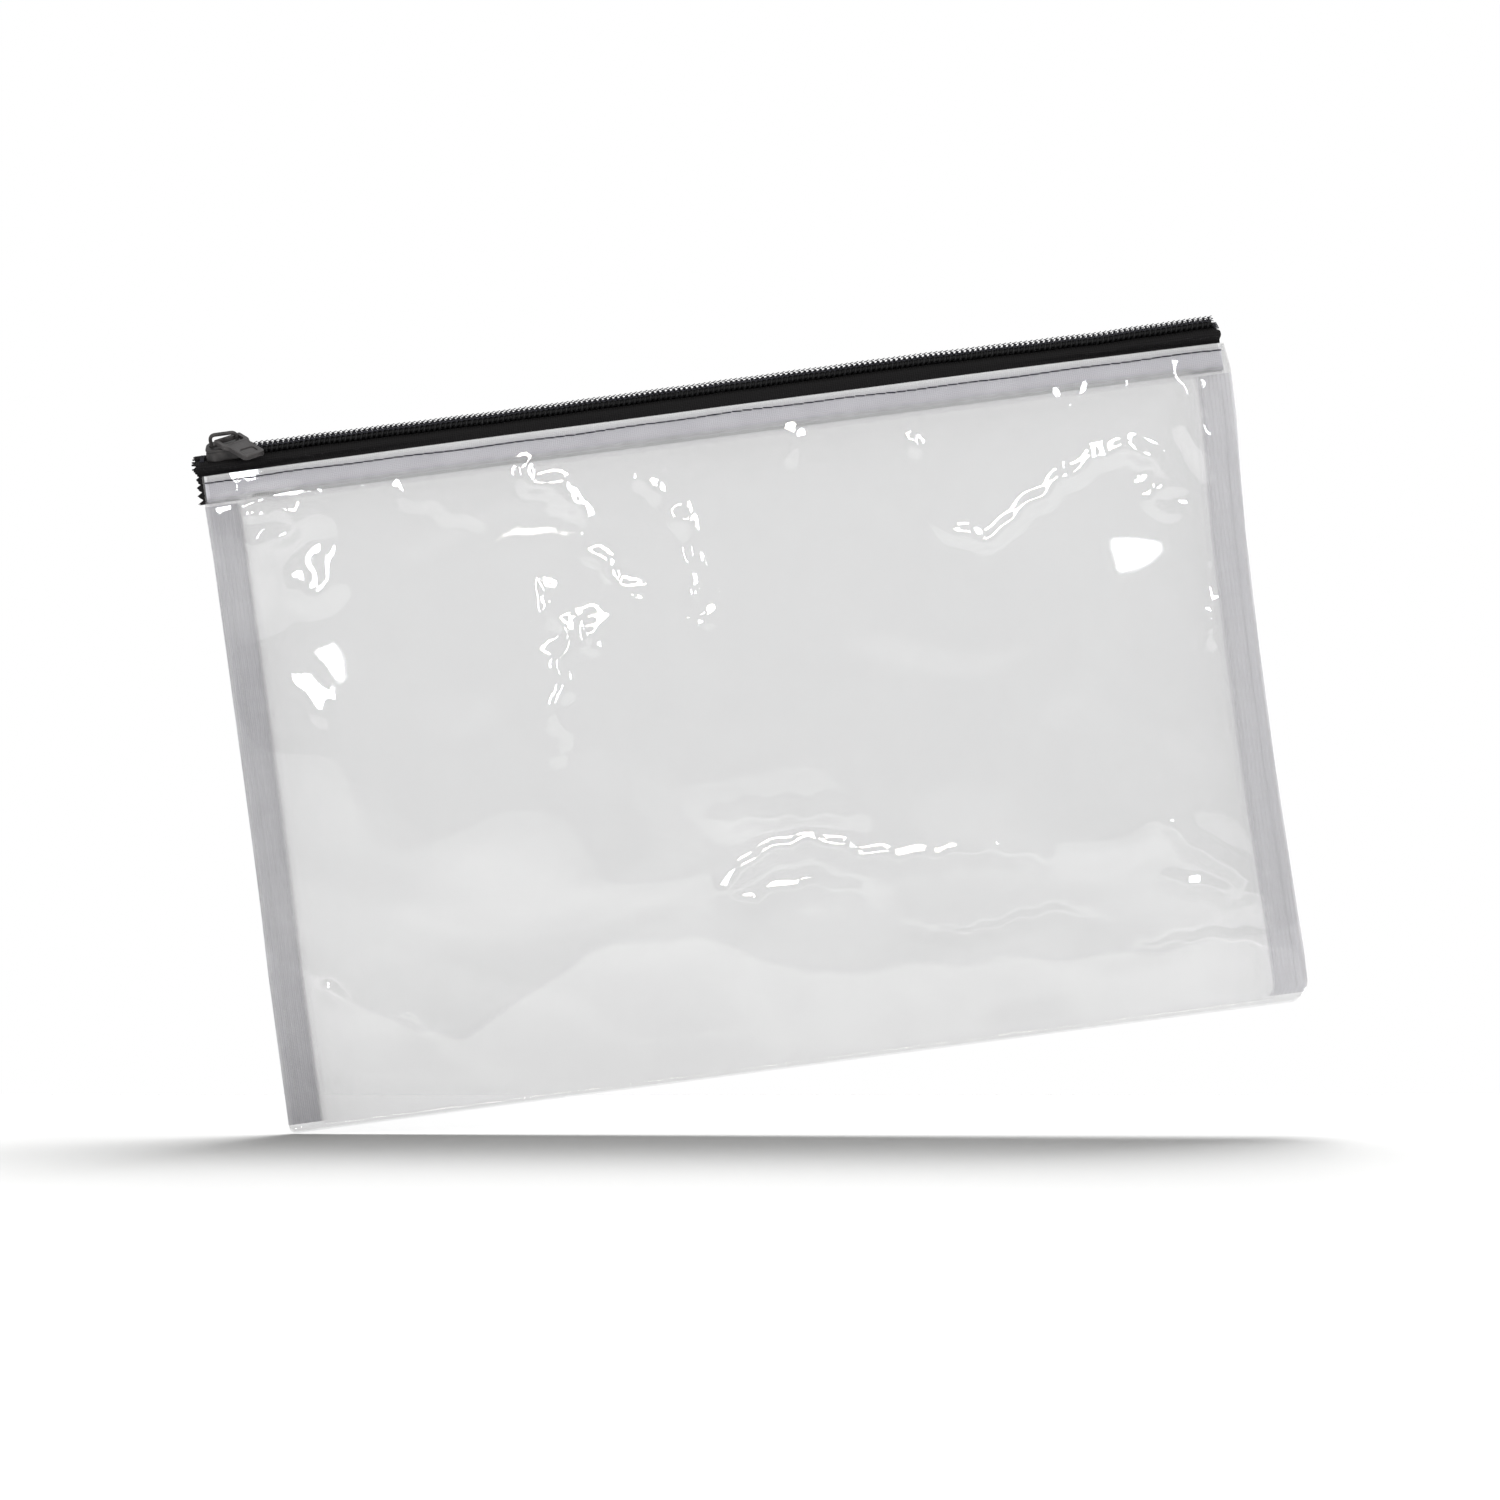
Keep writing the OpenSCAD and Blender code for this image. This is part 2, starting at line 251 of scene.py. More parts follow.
class Effects:
    """Shader node groups that several finishes share."""

    def __init__(self) -> None:
        """Builds every group once."""
        self.weave = self._weave()
        self.dust = self._dust()
        self.rub = self._rub()
        self.haze = self._haze()

    def _weave(self) -> bpy.types.NodeTree:
        """Threads that cross over and under each other.

        Returns:
            The group.
        """
        tree, given, out = new_group(
            "Crossing Threads", "ShaderNodeTree",
            {"Vector": POINT, "Threads Across": NUMBER, "Threads Along": NUMBER, "Unevenness": NUMBER},
            {"Height": NUMBER, "Gaps": NUMBER})
        wander = tree.noise(given.outputs["Vector"], 3.0, 2.0)
        split = tree.fed("ShaderNodeSeparateXYZ", {0: given.outputs["Vector"]})
        shift = tree.math("MULTIPLY", wander, given.outputs["Unevenness"])
        waves = []
        for axis, count in ((0, "Threads Across"), (1, "Threads Along")):
            place = tree.math("ADD", split.outputs[axis], shift)
            turn = tree.math("MULTIPLY", tree.math("MULTIPLY", place, given.outputs[count]), math.pi)
            waves.append((tree.math("SINE", turn), tree.math("COSINE", turn)))
        across = tree.math("ABSOLUTE", waves[0][0])
        along = tree.math("ABSOLUTE", waves[1][0])
        over = tree.math("MULTIPLY", waves[0][1], waves[1][1])
        raised = tree.math("MULTIPLY_ADD", over, 0.5, 0.5)
        top = tree.math("MULTIPLY", across, raised)
        under = tree.math("MULTIPLY", along, tree.math("SUBTRACT", 1.0, raised))
        height = tree.math("ADD", top, under)
        tree.join(height, out.inputs["Height"])
        tree.join(tree.spread(height, 0.0, 0.45, 1.0, 0.0), out.inputs["Gaps"])
        return tree.tree

    def _dust(self) -> bpy.types.NodeTree:
        """Fine lint and dust.

        Returns:
            The group.
        """
        tree, given, out = new_group("Fine Dust", "ShaderNodeTree",
                                     {"Vector": POINT, "Grain": NUMBER, "Amount": NUMBER},
                                     {"Mask": NUMBER})
        specks = tree.fed("ShaderNodeTexNoise", {"Vector": given.outputs["Vector"],
                                                 "Scale": given.outputs["Grain"], "Detail": 4.0,
                                                 "Roughness": 0.75})
        patches = tree.noise(given.outputs["Vector"], 4.0, 2.0)
        found = tree.spread(specks.outputs[0], 0.6, 0.74, 0.0, 1.0)
        mask = tree.math("MULTIPLY", found, tree.spread(patches, 0.35, 0.7, 0.15, 1.0))
        tree.join(tree.math("MULTIPLY", mask, given.outputs["Amount"]), out.inputs["Mask"])
        return tree.tree

    def _rub(self) -> bpy.types.NodeTree:
        """Paint rubbed thin along edges that hands and cloth touch.

        Returns:
            The group.
        """
        tree, given, out = new_group("Rubbed Edges", "ShaderNodeTree",
                                     {"Vector": POINT, "Edge": NUMBER, "Amount": NUMBER},
                                     {"Mask": NUMBER})
        broken = tree.noise(given.outputs["Vector"], 900.0, 4.0, 0.7)
        worn = tree.math("ADD", given.outputs["Edge"], tree.math("SUBTRACT", broken, 0.5))
        mask = tree.spread(worn, 0.55, 0.95, 0.0, 1.0)
        tree.join(tree.math("MULTIPLY", mask, given.outputs["Amount"]), out.inputs["Mask"])
        return tree.tree

    def _haze(self) -> bpy.types.NodeTree:
        """Cloudiness, fine scuffs and pressed texture of soft film.

        Returns:
            The group.
        """
        tree, given, out = new_group("Film Haze", "ShaderNodeTree", {"Vector": POINT, "Grain": NUMBER},
                                     {"Cloud": NUMBER, "Scuff": NUMBER, "Height": NUMBER})
        cloud = tree.noise(given.outputs["Vector"], 2.3, 3.0, 0.45, 0.6)
        tree.join(tree.spread(cloud, 0.3, 0.7, 0.0, 1.0), out.inputs["Cloud"])
        stretch = tree.fed("ShaderNodeMapping", {"Vector": given.outputs["Vector"],
                                                 "Rotation": (0.0, 0.0, 0.5), "Scale": (90.0, 5.0, 5.0)})
        lines = tree.noise(stretch.outputs[0], 2.0, 3.0, 0.6)
        tree.join(tree.spread(lines, 0.66, 0.74, 0.0, 1.0), out.inputs["Scuff"])
        grain = tree.fed("ShaderNodeTexNoise", {"Vector": given.outputs["Vector"],
                                                "Scale": given.outputs["Grain"], "Detail": 3.0})
        tree.join(grain.outputs[0], out.inputs["Height"])
        return tree.tree


def use(tree: Tree, group: bpy.types.NodeTree, **values: object) -> bpy.types.Node:
    """Places a node group in a tree.

    Args:
        tree: where it goes.
        group: the group.
        values: a socket or value for each input; an underscore stands for a space.

    Returns:
        The group's node.
    """
    node = tree.add("ShaderNodeGroup", node_tree=group)
    for name, value in values.items():
        tree.join(value, node.inputs[name.replace("_", " ")])
    return node


def shader_of(name: str, **settings: object) -> tuple[bpy.types.Material, Tree, bpy.types.Node]:
    """Makes a material with a Principled shader.

    Args:
        name: the material's name.
        settings: values for the shader's own sockets; an underscore stands for a space.

    Returns:
        The material, its tree and the shader.
    """
    material = bpy.data.materials.new(name)
    material.use_nodes = True
    tree = Tree(material.node_tree)
    shader = material.node_tree.nodes["Principled BSDF"]
    for label, value in settings.items():
        shader.inputs[label.replace("_", " ")].default_value = value
    return material, tree, shader


def surface_place(tree: Tree) -> bpy.types.NodeSocket:
    """Returns the UV map's socket: the coordinates on a piece's own surface."""
    return tree.add("ShaderNodeUVMap", uv_map="Surface").outputs[0]


def bump(tree: Tree, shader: bpy.types.Node, height: object, depth_mm: float,
         strength: float = 1.0) -> None:
    """Feeds a height, from 0 to 1 and depth_mm deep, to the shader's normal."""
    node = tree.fed("ShaderNodeBump", {"Strength": strength, "Distance": depth_mm * MM, "Height": height})
    tree.join(node.outputs[0], shader.inputs["Normal"])


# ------------------------------------------------------------------ finishes


@dataclass(frozen=True)
class FilmFinish:
    """Soft clear film: see-through, slightly milky and glossy."""

    name: str = "clear_film"
    tint: tuple[float, float, float, float] = (0.50, 0.502, 0.51, 1.0)
    unshaded_touch_tint: tuple[float, float, float, float] = (0.57, 0.57, 0.58, 1.0)
    body: float = 0.184
    thin_body: float = 0.150
    shadow_body: float = 0.4
    # extra opacity of the painted shade along the seams and hem
    shade_body: float = 0.27
    roughness: float = 0.045

    def make(self, effects: Effects) -> bpy.types.Material:
        """Makes the material.

        Args:
            effects: the shared node groups.

        Returns:
            The material.
        """
        material, tree, shader = shader_of(self.name, IOR=1.54, Specular_IOR_Level=1.0,
                                           Coat_Roughness=0.02, Coat_IOR=1.6)
        place = surface_place(tree)
        haze = use(tree, effects.haze, Vector=place, Grain=26.0)
        dust = use(tree, effects.dust, Vector=place, Grain=160.0, Amount=0.5)
        touch = tree.add("ShaderNodeAttribute", attribute_name="touching").outputs["Fac"]
        # painted light: where the walls touch, the film gets a lighter tint, free of the bag's inner shade
        colour = tree.blend_colours(touch, self.tint, self.unshaded_touch_tint)
        shade = tree.math("MULTIPLY", haze.outputs["Cloud"], 0.22)
        colour = tree.blend_colours(shade, colour, (0.62, 0.62, 0.63, 1.0))
        colour = tree.blend_colours(dust.outputs["Mask"], colour, (0.85, 0.85, 0.85, 1.0))
        tree.join(colour, shader.inputs["Base Color"])
        share = tree.spread(touch, 0.0, 1.0, self.body, self.thin_body)
        # painted shade: the film is made more opaque, and so darker, along its seams and hem
        painted_edge_shade = tree.add("ShaderNodeAttribute", attribute_name="painted_edge_shade").outputs["Fac"]
        share = tree.math("MULTIPLY_ADD", painted_edge_shade, self.shade_body, share)
        share = tree.math("MULTIPLY_ADD", haze.outputs["Cloud"], 0.02, share)
        share = tree.math("MULTIPLY_ADD", haze.outputs["Scuff"], 0.02, share)
        share = tree.math("MULTIPLY_ADD", dust.outputs["Mask"], 0.12, share)
        shaded = tree.add("ShaderNodeLightPath").outputs["Is Shadow Ray"]
        share = tree.math("MULTIPLY_ADD", shaded, self.shadow_body, share)
        tree.join(share, shader.inputs["Alpha"])
        tree.join(tree.math("MULTIPLY_ADD", haze.outputs["Scuff"], 0.12, self.roughness),
                  shader.inputs["Roughness"])
        tree.join(tree.spread(haze.outputs["Cloud"], 0.0, 1.0, 1.0, 0.9), shader.inputs["Coat Weight"])
        bump(tree, shader, haze.outputs["Height"], 0.12, 0.15)
        return material


@dataclass(frozen=True)
class JoinFinish:
    """Cut faces where two halves of one film meet, which nobody sees."""

    name: str = "film_join"

    def make(self) -> bpy.types.Material:
        """Makes the material."""
        return shader_of(self.name, Alpha=0.0)[0]


@dataclass(frozen=True)
class WovenFinish:
    """Ribbed woven tape of clear and white yarn, with an edge that thins out; the fade from dark to clear at
    that edge is also painted shade.
    """

    name: str
    tint: tuple[float, float, float, float]
    pale: tuple[float, float, float, float]
    body: float = 0.96
    edge_body: float = 0.10
    across: float = 166.0
    along: float = 240.0

    def make(self, effects: Effects) -> bpy.types.Material:
        """Makes the material.

        Args:
            effects: the shared node groups.

        Returns:
            The material.
        """
        material, tree, shader = shader_of(self.name, IOR=1.5, Specular_IOR_Level=0.3,
                                           Sheen_Weight=0.1, Sheen_Roughness=0.5)
        place = surface_place(tree)
        threads = use(tree, effects.weave, Vector=place, Threads_Across=self.across,
                      Threads_Along=self.along, Unevenness=0.004)
        dust = use(tree, effects.dust, Vector=place, Grain=120.0, Amount=0.3)
        patches = tree.noise(place, 9.0, 3.0)
        lift = tree.math("MULTIPLY_ADD", threads.outputs["Height"], 0.75, 0.0)
        lift = tree.math("MULTIPLY", lift, tree.spread(patches, 0.3, 0.7, 0.6, 1.0))
        colour = tree.blend_colours(lift, self.tint, self.pale)
        # paler where marked: the uncovered strip above the hem stitch and the binding's fold, plus a painted
        # highlight along the hem's top edge
        bright = tree.add("ShaderNodeAttribute", attribute_name="pressed").outputs["Fac"]
        colour = tree.blend_colours(bright, colour, (0.86, 0.86, 0.87, 1.0))
        colour = tree.blend_colours(dust.outputs["Mask"], colour, (0.8, 0.8, 0.8, 1.0))
        tree.join(colour, shader.inputs["Base Color"])
        # the tape thins towards its inner edge, and the dark-to-clear fade there is also painted shade
        fade = tree.add("ShaderNodeAttribute", attribute_name="edge_fade_and_shade").outputs["Fac"]
        share = tree.spread(fade, 0.0, 1.0, self.body, self.edge_body)
        share = tree.math("SUBTRACT", share, tree.math("MULTIPLY", threads.outputs["Gaps"], 0.12),
                          clamp=True)
        tree.join(share, shader.inputs["Alpha"])
        tree.join(tree.spread(threads.outputs["Height"], 0.0, 1.0, 0.8, 0.55),
                  shader.inputs["Roughness"])
        bump(tree, shader, threads.outputs["Height"], 0.1, 0.8)
        return material


@dataclass(frozen=True)
class TapeFinish:
    """Black woven zipper tape with ribbed lengthwise rows."""

    name: str = "zipper_tape"
    tint: tuple[float, float, float, float] = (0.003, 0.0029, 0.0031, 1.0)
    pale: tuple[float, float, float, float] = (0.010, 0.0095, 0.010, 1.0)

    def make(self, effects: Effects) -> bpy.types.Material:
        """Makes the material.

        Args:
            effects: the shared node groups.

        Returns:
            The material.
        """
        material, tree, shader = shader_of(self.name, IOR=1.5, Specular_IOR_Level=0.06,
                                           Sheen_Weight=0.005, Sheen_Roughness=0.6)
        place = surface_place(tree)
        threads = use(tree, effects.weave, Vector=place, Threads_Across=150.0,
                      Threads_Along=190.0, Unevenness=0.006)
        dust = use(tree, effects.dust, Vector=place, Grain=90.0, Amount=0.35)
        colour = tree.blend_colours(threads.outputs["Height"], self.tint, self.pale)
        colour = tree.blend_colours(dust.outputs["Mask"], colour, (0.045, 0.044, 0.045, 1.0))
        tree.join(colour, shader.inputs["Base Color"])
        tree.join(tree.spread(threads.outputs["Height"], 0.0, 1.0, 0.95, 0.7),
                  shader.inputs["Roughness"])
        bump(tree, shader, threads.outputs["Height"], 0.16, 1.0)
        return material


@dataclass(frozen=True)
class NylonFinish:
    """Black nylon of the coil and its cord."""

    name: str
    tint: tuple[float, float, float, float] = (0.003, 0.003, 0.0034, 1.0)
    pale: tuple[float, float, float, float] = (0.008, 0.008, 0.009, 1.0)
    roughness: float = 0.5
    grain: float = 700.0

    def make(self, effects: Effects) -> bpy.types.Material:
        """Makes the material.

        Args:
            effects: the shared node groups.

        Returns:
            The material.
        """
        material, tree, shader = shader_of(self.name, IOR=1.53, Specular_IOR_Level=0.15)
        place = tree.add("ShaderNodeTexCoord").outputs["Object"]
        grain = tree.noise(place, self.grain, 3.0, 0.6)
        dust = use(tree, effects.dust, Vector=place, Grain=900.0, Amount=0.5)
        colour = tree.blend_colours(tree.spread(grain, 0.4, 0.7, 0.0, 1.0), self.tint, self.pale)
        colour = tree.blend_colours(dust.outputs["Mask"], colour, (0.09, 0.09, 0.09, 1.0))
        tree.join(colour, shader.inputs["Base Color"])
        tree.join(tree.math("MULTIPLY_ADD", grain, 0.25, self.roughness - 0.1),
                  shader.inputs["Roughness"])
        bump(tree, shader, grain, 0.05, 0.5)
        return material


@dataclass(frozen=True)
class ThreadFinish:
    """Twisted sewing thread."""

    name: str
    tint: tuple[float, float, float, float]
    pale: tuple[float, float, float, float]
    body: float = 1.0

    def make(self) -> bpy.types.Material:
        """Makes the material.

        Returns:
            The material.
        """
        material, tree, shader = shader_of(self.name, IOR=1.5, Specular_IOR_Level=0.25,
                                           Alpha=self.body)
        place = tree.add("ShaderNodeTexCoord").outputs["Object"]
        twist = tree.fed("ShaderNodeTexWave", {"Vector": place, "Scale": 900.0, "Distortion": 1.5},
                         wave_type="BANDS", bands_direction="DIAGONAL")
        fuzz = tree.noise(place, 2600.0, 3.0)
        mixed = tree.math("MULTIPLY", twist.outputs["Fac"], fuzz)
        tree.join(tree.blend_colours(mixed, self.tint, self.pale), shader.inputs["Base Color"])
        tree.join(tree.spread(fuzz, 0.2, 0.8, 0.7, 0.9), shader.inputs["Roughness"])
        bump(tree, shader, mixed, 0.06, 0.8)
        return material


@dataclass(frozen=True)
class PaintFinish:
    """Dark baked paint on cast metal, rubbed at its edges."""

    name: str
    tint: tuple[float, float, float, float]
    bare: tuple[float, float, float, float] = (0.075, 0.07, 0.07, 1.0)
    rubbed: float = 0.5

    def make(self, effects: Effects) -> bpy.types.Material:
        """Makes the material.

        Args:
            effects: the shared node groups.

        Returns:
            The material.
        """
        material, tree, shader = shader_of(self.name, IOR=1.5, Specular_IOR_Level=0.22, Coat_Roughness=0.25,
                                           Coat_IOR=1.4)
        place = tree.add("ShaderNodeTexCoord").outputs["Object"]
        edge = tree.add("ShaderNodeAttribute", attribute_name="edge").outputs["Fac"]
        rub = use(tree, effects.rub, Vector=place, Edge=edge, Amount=self.rubbed)
        dust = use(tree, effects.dust, Vector=place, Grain=800.0, Amount=0.25)
        orange = tree.noise(place, 1400.0, 2.0, 0.5)
        broad = tree.noise(place, 300.0, 2.0, 0.5)
        colour = tree.blend_colours(tree.spread(broad, 0.3, 0.7, 0.0, 0.35), self.tint, self.bare)
        colour = tree.blend_colours(rub.outputs["Mask"], colour, self.bare)
        colour = tree.blend_colours(dust.outputs["Mask"], colour, (0.3, 0.3, 0.3, 1.0))
        tree.join(colour, shader.inputs["Base Color"])
        tree.join(tree.math("MULTIPLY", rub.outputs["Mask"], 0.5), shader.inputs["Metallic"])
        tree.join(tree.spread(broad, 0.3, 0.7, 0.42, 0.55), shader.inputs["Roughness"])
        tree.join(tree.spread(rub.outputs["Mask"], 0.0, 1.0, 0.08, 0.0), shader.inputs["Coat Weight"])
        bump(tree, shader, orange, 0.03, 0.35)
        return material


@dataclass(frozen=True)
class PaperFinish:
    """Matte white paper of the studio floor."""

    name: str = "studio_floor"
    near: tuple[float, float, float, float] = (0.3, 0.3, 0.3, 1.0)
    far: tuple[float, float, float, float] = (0.3, 0.3, 0.3, 1.0)
    near_glow: tuple[float, float, float, float] = (0.0, 0.0, 0.0, 1.0)
    far_glow: tuple[float, float, float, float] = (0.95, 0.95, 0.95, 1.0)

    def make(self) -> bpy.types.Material:
        """Makes the material.

        Returns:
            The material.
        """
        material, tree, shader = shader_of(self.name, Roughness=0.95, Specular_IOR_Level=0.05,
                                           Emission_Strength=1.0)
        place = tree.add("ShaderNodeTexCoord").outputs["Object"]
        fibre = tree.noise(place, 400.0, 3.0)
        away = tree.fed("ShaderNodeVectorMath", {0: place}, operation="LENGTH")
        away = tree.spread(away.outputs["Value"], 0.2, 0.6, 0.0, 1.0)
        colour = tree.blend_colours(fibre, self.near, (0.31, 0.31, 0.31, 1.0))
        tree.join(tree.blend_colours(away, colour, self.far), shader.inputs["Base Color"])
        tree.join(tree.blend_colours(away, self.near_glow, self.far_glow), shader.inputs["Emission Color"])
        bump(tree, shader, fibre, 0.05, 0.2)
        return material


@dataclass
class Finishes:
    """Every material of the scene, made once."""

    effects: Effects = field(default_factory=Effects)

    def __post_init__(self) -> None:
        """Makes the materials."""
        made = self.effects
        self.film = FilmFinish().make(made)
        self.join = JoinFinish().make()
        # one binding tape in two tones: the left painted darker as shade, the right painted paler as light
        self.binding = {
            Side.LEFT: WovenFinish("seam_binding_shaded", (0.42, 0.415, 0.46, 1.0),
                                   (0.80, 0.79, 0.84, 1.0), body=0.8, edge_body=0.03).make(made),
            Side.RIGHT: WovenFinish("seam_binding_pale", (0.80, 0.79, 0.84, 1.0),
                                    (0.97, 0.96, 1.0, 1.0), body=0.66, edge_body=0.03).make(made)}
        self.facing = WovenFinish("hem_facing", (0.46, 0.45, 0.51, 1.0), (0.75, 0.74, 0.80, 1.0),
                                  body=1.0, edge_body=0.08, along=200.0).make(made)
        self.tape = TapeFinish().make(made)
        self.coil = NylonFinish("zipper_coil").make(made)
        self.cord = NylonFinish("coil_cord", roughness=0.7, grain=1500.0).make(made)
        self.black_thread = ThreadFinish("black_thread", (0.008, 0.008, 0.012, 1.0),
                                         (0.045, 0.045, 0.06, 1.0)).make()
        self.clear_thread = ThreadFinish("clear_thread", (0.55, 0.55, 0.58, 1.0),
                                         (0.85, 0.85, 0.88, 1.0), body=0.8).make()
        self.slider = PaintFinish("slider_paint", (0.005, 0.0048, 0.005, 1.0), rubbed=0.25).make(made)
        self.pull = PaintFinish("pull_paint", (0.022, 0.020, 0.0205, 1.0), rubbed=0.5).make(made)
        self.paper = PaperFinish().make()


# -------------------------------------------------------------------- meshes


def piece_from(name: str, points: np.ndarray, faces: list[tuple[int, ...]],
               material: bpy.types.Material, surface: np.ndarray | None = None,
               marks: dict[str, np.ndarray] | None = None, crease_deg: float = 50.0) -> bpy.types.Object:
    """Makes an object from points in millimetres.

    Args:
        name: the piece's name.
        points: one row of X, Y and Z for each point.
        faces: point numbers of each face, which point outwards.
        material: its finish.
        surface: place of each point on the surface, for the UV map.
        marks: named numbers for each point.
        crease_deg: edges that turn by more than this stay sharp.

    Returns:
        The object, at the origin.
    """
    mesh = bpy.data.meshes.new(name)
    mesh.from_pydata((points * MM).tolist(), [], faces)
    mesh.update()
    if surface is not None:
        loops = np.zeros(len(mesh.loops), np.int32)
        mesh.loops.foreach_get("vertex_index", loops)
        layer = mesh.uv_layers.new(name="Surface")
        layer.data.foreach_set("uv", surface[loops].astype(np.float32).ravel())
    for label, values in (marks or {}).items():
        attribute = mesh.attributes.new(label, "FLOAT", "POINT")
        attribute.data.foreach_set("value", values.astype(np.float32).ravel())
    mesh.materials.append(material)
    mesh.shade_smooth()
    mesh.set_sharp_from_angle(angle=math.radians(crease_deg))
    made = bpy.data.objects.new(name, mesh)
    bpy.context.scene.collection.objects.link(made)
    return made


def grid_normals(net: np.ndarray) -> np.ndarray:
    """Unit normals of a net of points.

    Args:
        net: points by column, row and coordinate.

    Returns:
        One normal for each point, along the cross product of columns and rows.
    """
    across = np.gradient(net, axis=0)
    along = np.gradient(net, axis=1)
    normal = np.cross(across, along)
    return normal / np.maximum(np.linalg.norm(normal, axis=2, keepdims=True), 1e-9)


def shell_faces(columns: int, rows: int) -> list[tuple[int, ...]]:
    """Faces of a closed thin shell whose outer net comes before its inner net.

    Args:
        columns: columns of each net.
        rows: rows of each net.

    Returns:
        The faces, pointing outwards.
    """
    inner = columns * rows
    faces = []
    for i in range(columns - 1):
        for j in range(rows - 1):
            a, b = i * rows + j, (i + 1) * rows + j
            faces.append((a, b, b + 1, a + 1))
            faces.append((a + inner, a + 1 + inner, b + 1 + inner, b + inner))
    for i in range(columns - 1):
        a, b = i * rows, (i + 1) * rows
        faces.append((a, a + inner, b + inner, b))
        a, b = a + rows - 1, b + rows - 1
        faces.append((b, b + inner, a + inner, a))
    last = (columns - 1) * rows
    for j in range(rows - 1):
        faces.append((j, j + 1, j + 1 + inner, j + inner))
        a = last + j
        faces.append((a + 1, a, a + inner, a + 1 + inner))
    return faces


def shell(name: str, net: np.ndarray, thickness: float, material: bpy.types.Material,
          surface: np.ndarray | None = None,
          marks: dict[str, np.ndarray] | None = None) -> bpy.types.Object:
    """Makes a closed thin sheet from the net of its outer face.

    Args:
        name: the piece's name.
        net: points by column, row and coordinate; columns cross rows gives the outside.
        thickness: the sheet's thickness, inwards.
        material: its finish.
        surface: place of each point of the net on the surface.
        marks: named numbers for each point of the net.

    Returns:
        The object.
    """
    inner = net - grid_normals(net) * thickness
    points = np.concatenate([net.reshape(-1, 3), inner.reshape(-1, 3)])
    if surface is None:
        surface = np.stack([net[..., 0], net[..., 2]], axis=-1) / 100.0
    flat = surface.reshape(-1, 2)
    doubled = {k: np.concatenate([v.ravel(), v.ravel()]) for k, v in (marks or {}).items()}
    return piece_from(name, points, shell_faces(net.shape[0], net.shape[1]), material,
                      np.concatenate([flat, flat]), doubled)


def swept(path: np.ndarray, profile: np.ndarray, closed: bool = False) -> tuple[np.ndarray, list]:
    """Sweeps a closed profile along a path.

    Args:
        path: points of the path.
        profile: points across it, as sideways and upwards, anticlockwise.
        closed: joins the path's end to its start.

    Returns:
        Points and faces.
    """
    count, around = len(path), len(profile)
    if closed:
        tangent = np.roll(path, -1, axis=0) - np.roll(path, 1, axis=0)
    else:
        tangent = np.gradient(path, axis=0)
    tangent /= np.linalg.norm(tangent, axis=1, keepdims=True)
    up = np.array([0.0, 1.0, 0.0]) if np.ptp(path[:, 1]) < 1e-6 else np.array([0.0, 0.0, 1.0])
    sideways = np.cross(tangent, up)
    sideways /= np.maximum(np.linalg.norm(sideways, axis=1, keepdims=True), 1e-9)
    upwards = np.cross(sideways, tangent)
    points = (path[:, None, :] + profile[None, :, 0, None] * sideways[:, None, :]
              + profile[None, :, 1, None] * upwards[:, None, :]).reshape(-1, 3)
    faces = []
    for i in range(count if closed else count - 1):
        k = (i + 1) % count
        for j in range(around):
            m = (j + 1) % around
            faces.append((i * around + j, k * around + j, k * around + m, i * around + m))
    if not closed:
        faces.append(tuple(range(around)))
        faces.append(tuple(range(count * around - 1, (count - 1) * around - 1, -1)))
    return points, faces


def ring(half_w: float, half_h: float, steps: int, squareness: float = 2.0) -> np.ndarray:
    """A rounded profile.

    Args:
        half_w: half width.
        half_h: half height.
        steps: points round it.
        squareness: 2 is an ellipse, more is squarer.

    Returns:
        Points of the profile.
    """
    turn = np.linspace(0.0, 2.0 * math.pi, steps, endpoint=False)
    c, s = np.cos(turn), np.sin(turn)
    power = 2.0 / squareness
    return np.stack([half_w * np.sign(c) * np.abs(c) ** power,
                     half_h * np.sign(s) * np.abs(s) ** power], axis=1)


def joined(parts: list[tuple[np.ndarray, list]]) -> tuple[np.ndarray, list]:
    """Puts several closed shapes into one list of points and faces.

    Args:
        parts: points and faces of each shape.

    Returns:
        Points and faces of all of them.
    """
    points, faces, start = [], [], 0
    for part_points, part_faces in parts:
        points.append(part_points)
        faces += [tuple(v + start for v in face) for face in part_faces]
        start += len(part_points)
    return np.concatenate(points), faces


def outward(made: bpy.types.Object) -> bpy.types.Object:
    """Turns every face of a closed mesh outwards.

    Args:
        made: the object.

    Returns:
        The same object.
    """
    work = bmesh.new()
    work.from_mesh(made.data)
    bmesh.ops.recalc_face_normals(work, faces=work.faces)
    work.to_mesh(made.data)
    work.free()
    return made


def mark_edges(made: bpy.types.Object) -> bpy.types.Object:
    """Stores how sharply the surface turns at each point, for rubbed edges.

    Args:
        made: the object.

    Returns:
        The same object.
    """
    work = bmesh.new()
    work.from_mesh(made.data)
    values = []
    for vertex in work.verts:
        turns = [abs(e.calc_face_angle(0.0)) for e in vertex.link_edges]
        values.append(min(1.0, max(turns, default=0.0) / math.radians(35)))
    work.free()
    attribute = made.data.attributes.new("edge", "FLOAT", "POINT")
    attribute.data.foreach_set("value", np.array(values, np.float32))
    return made


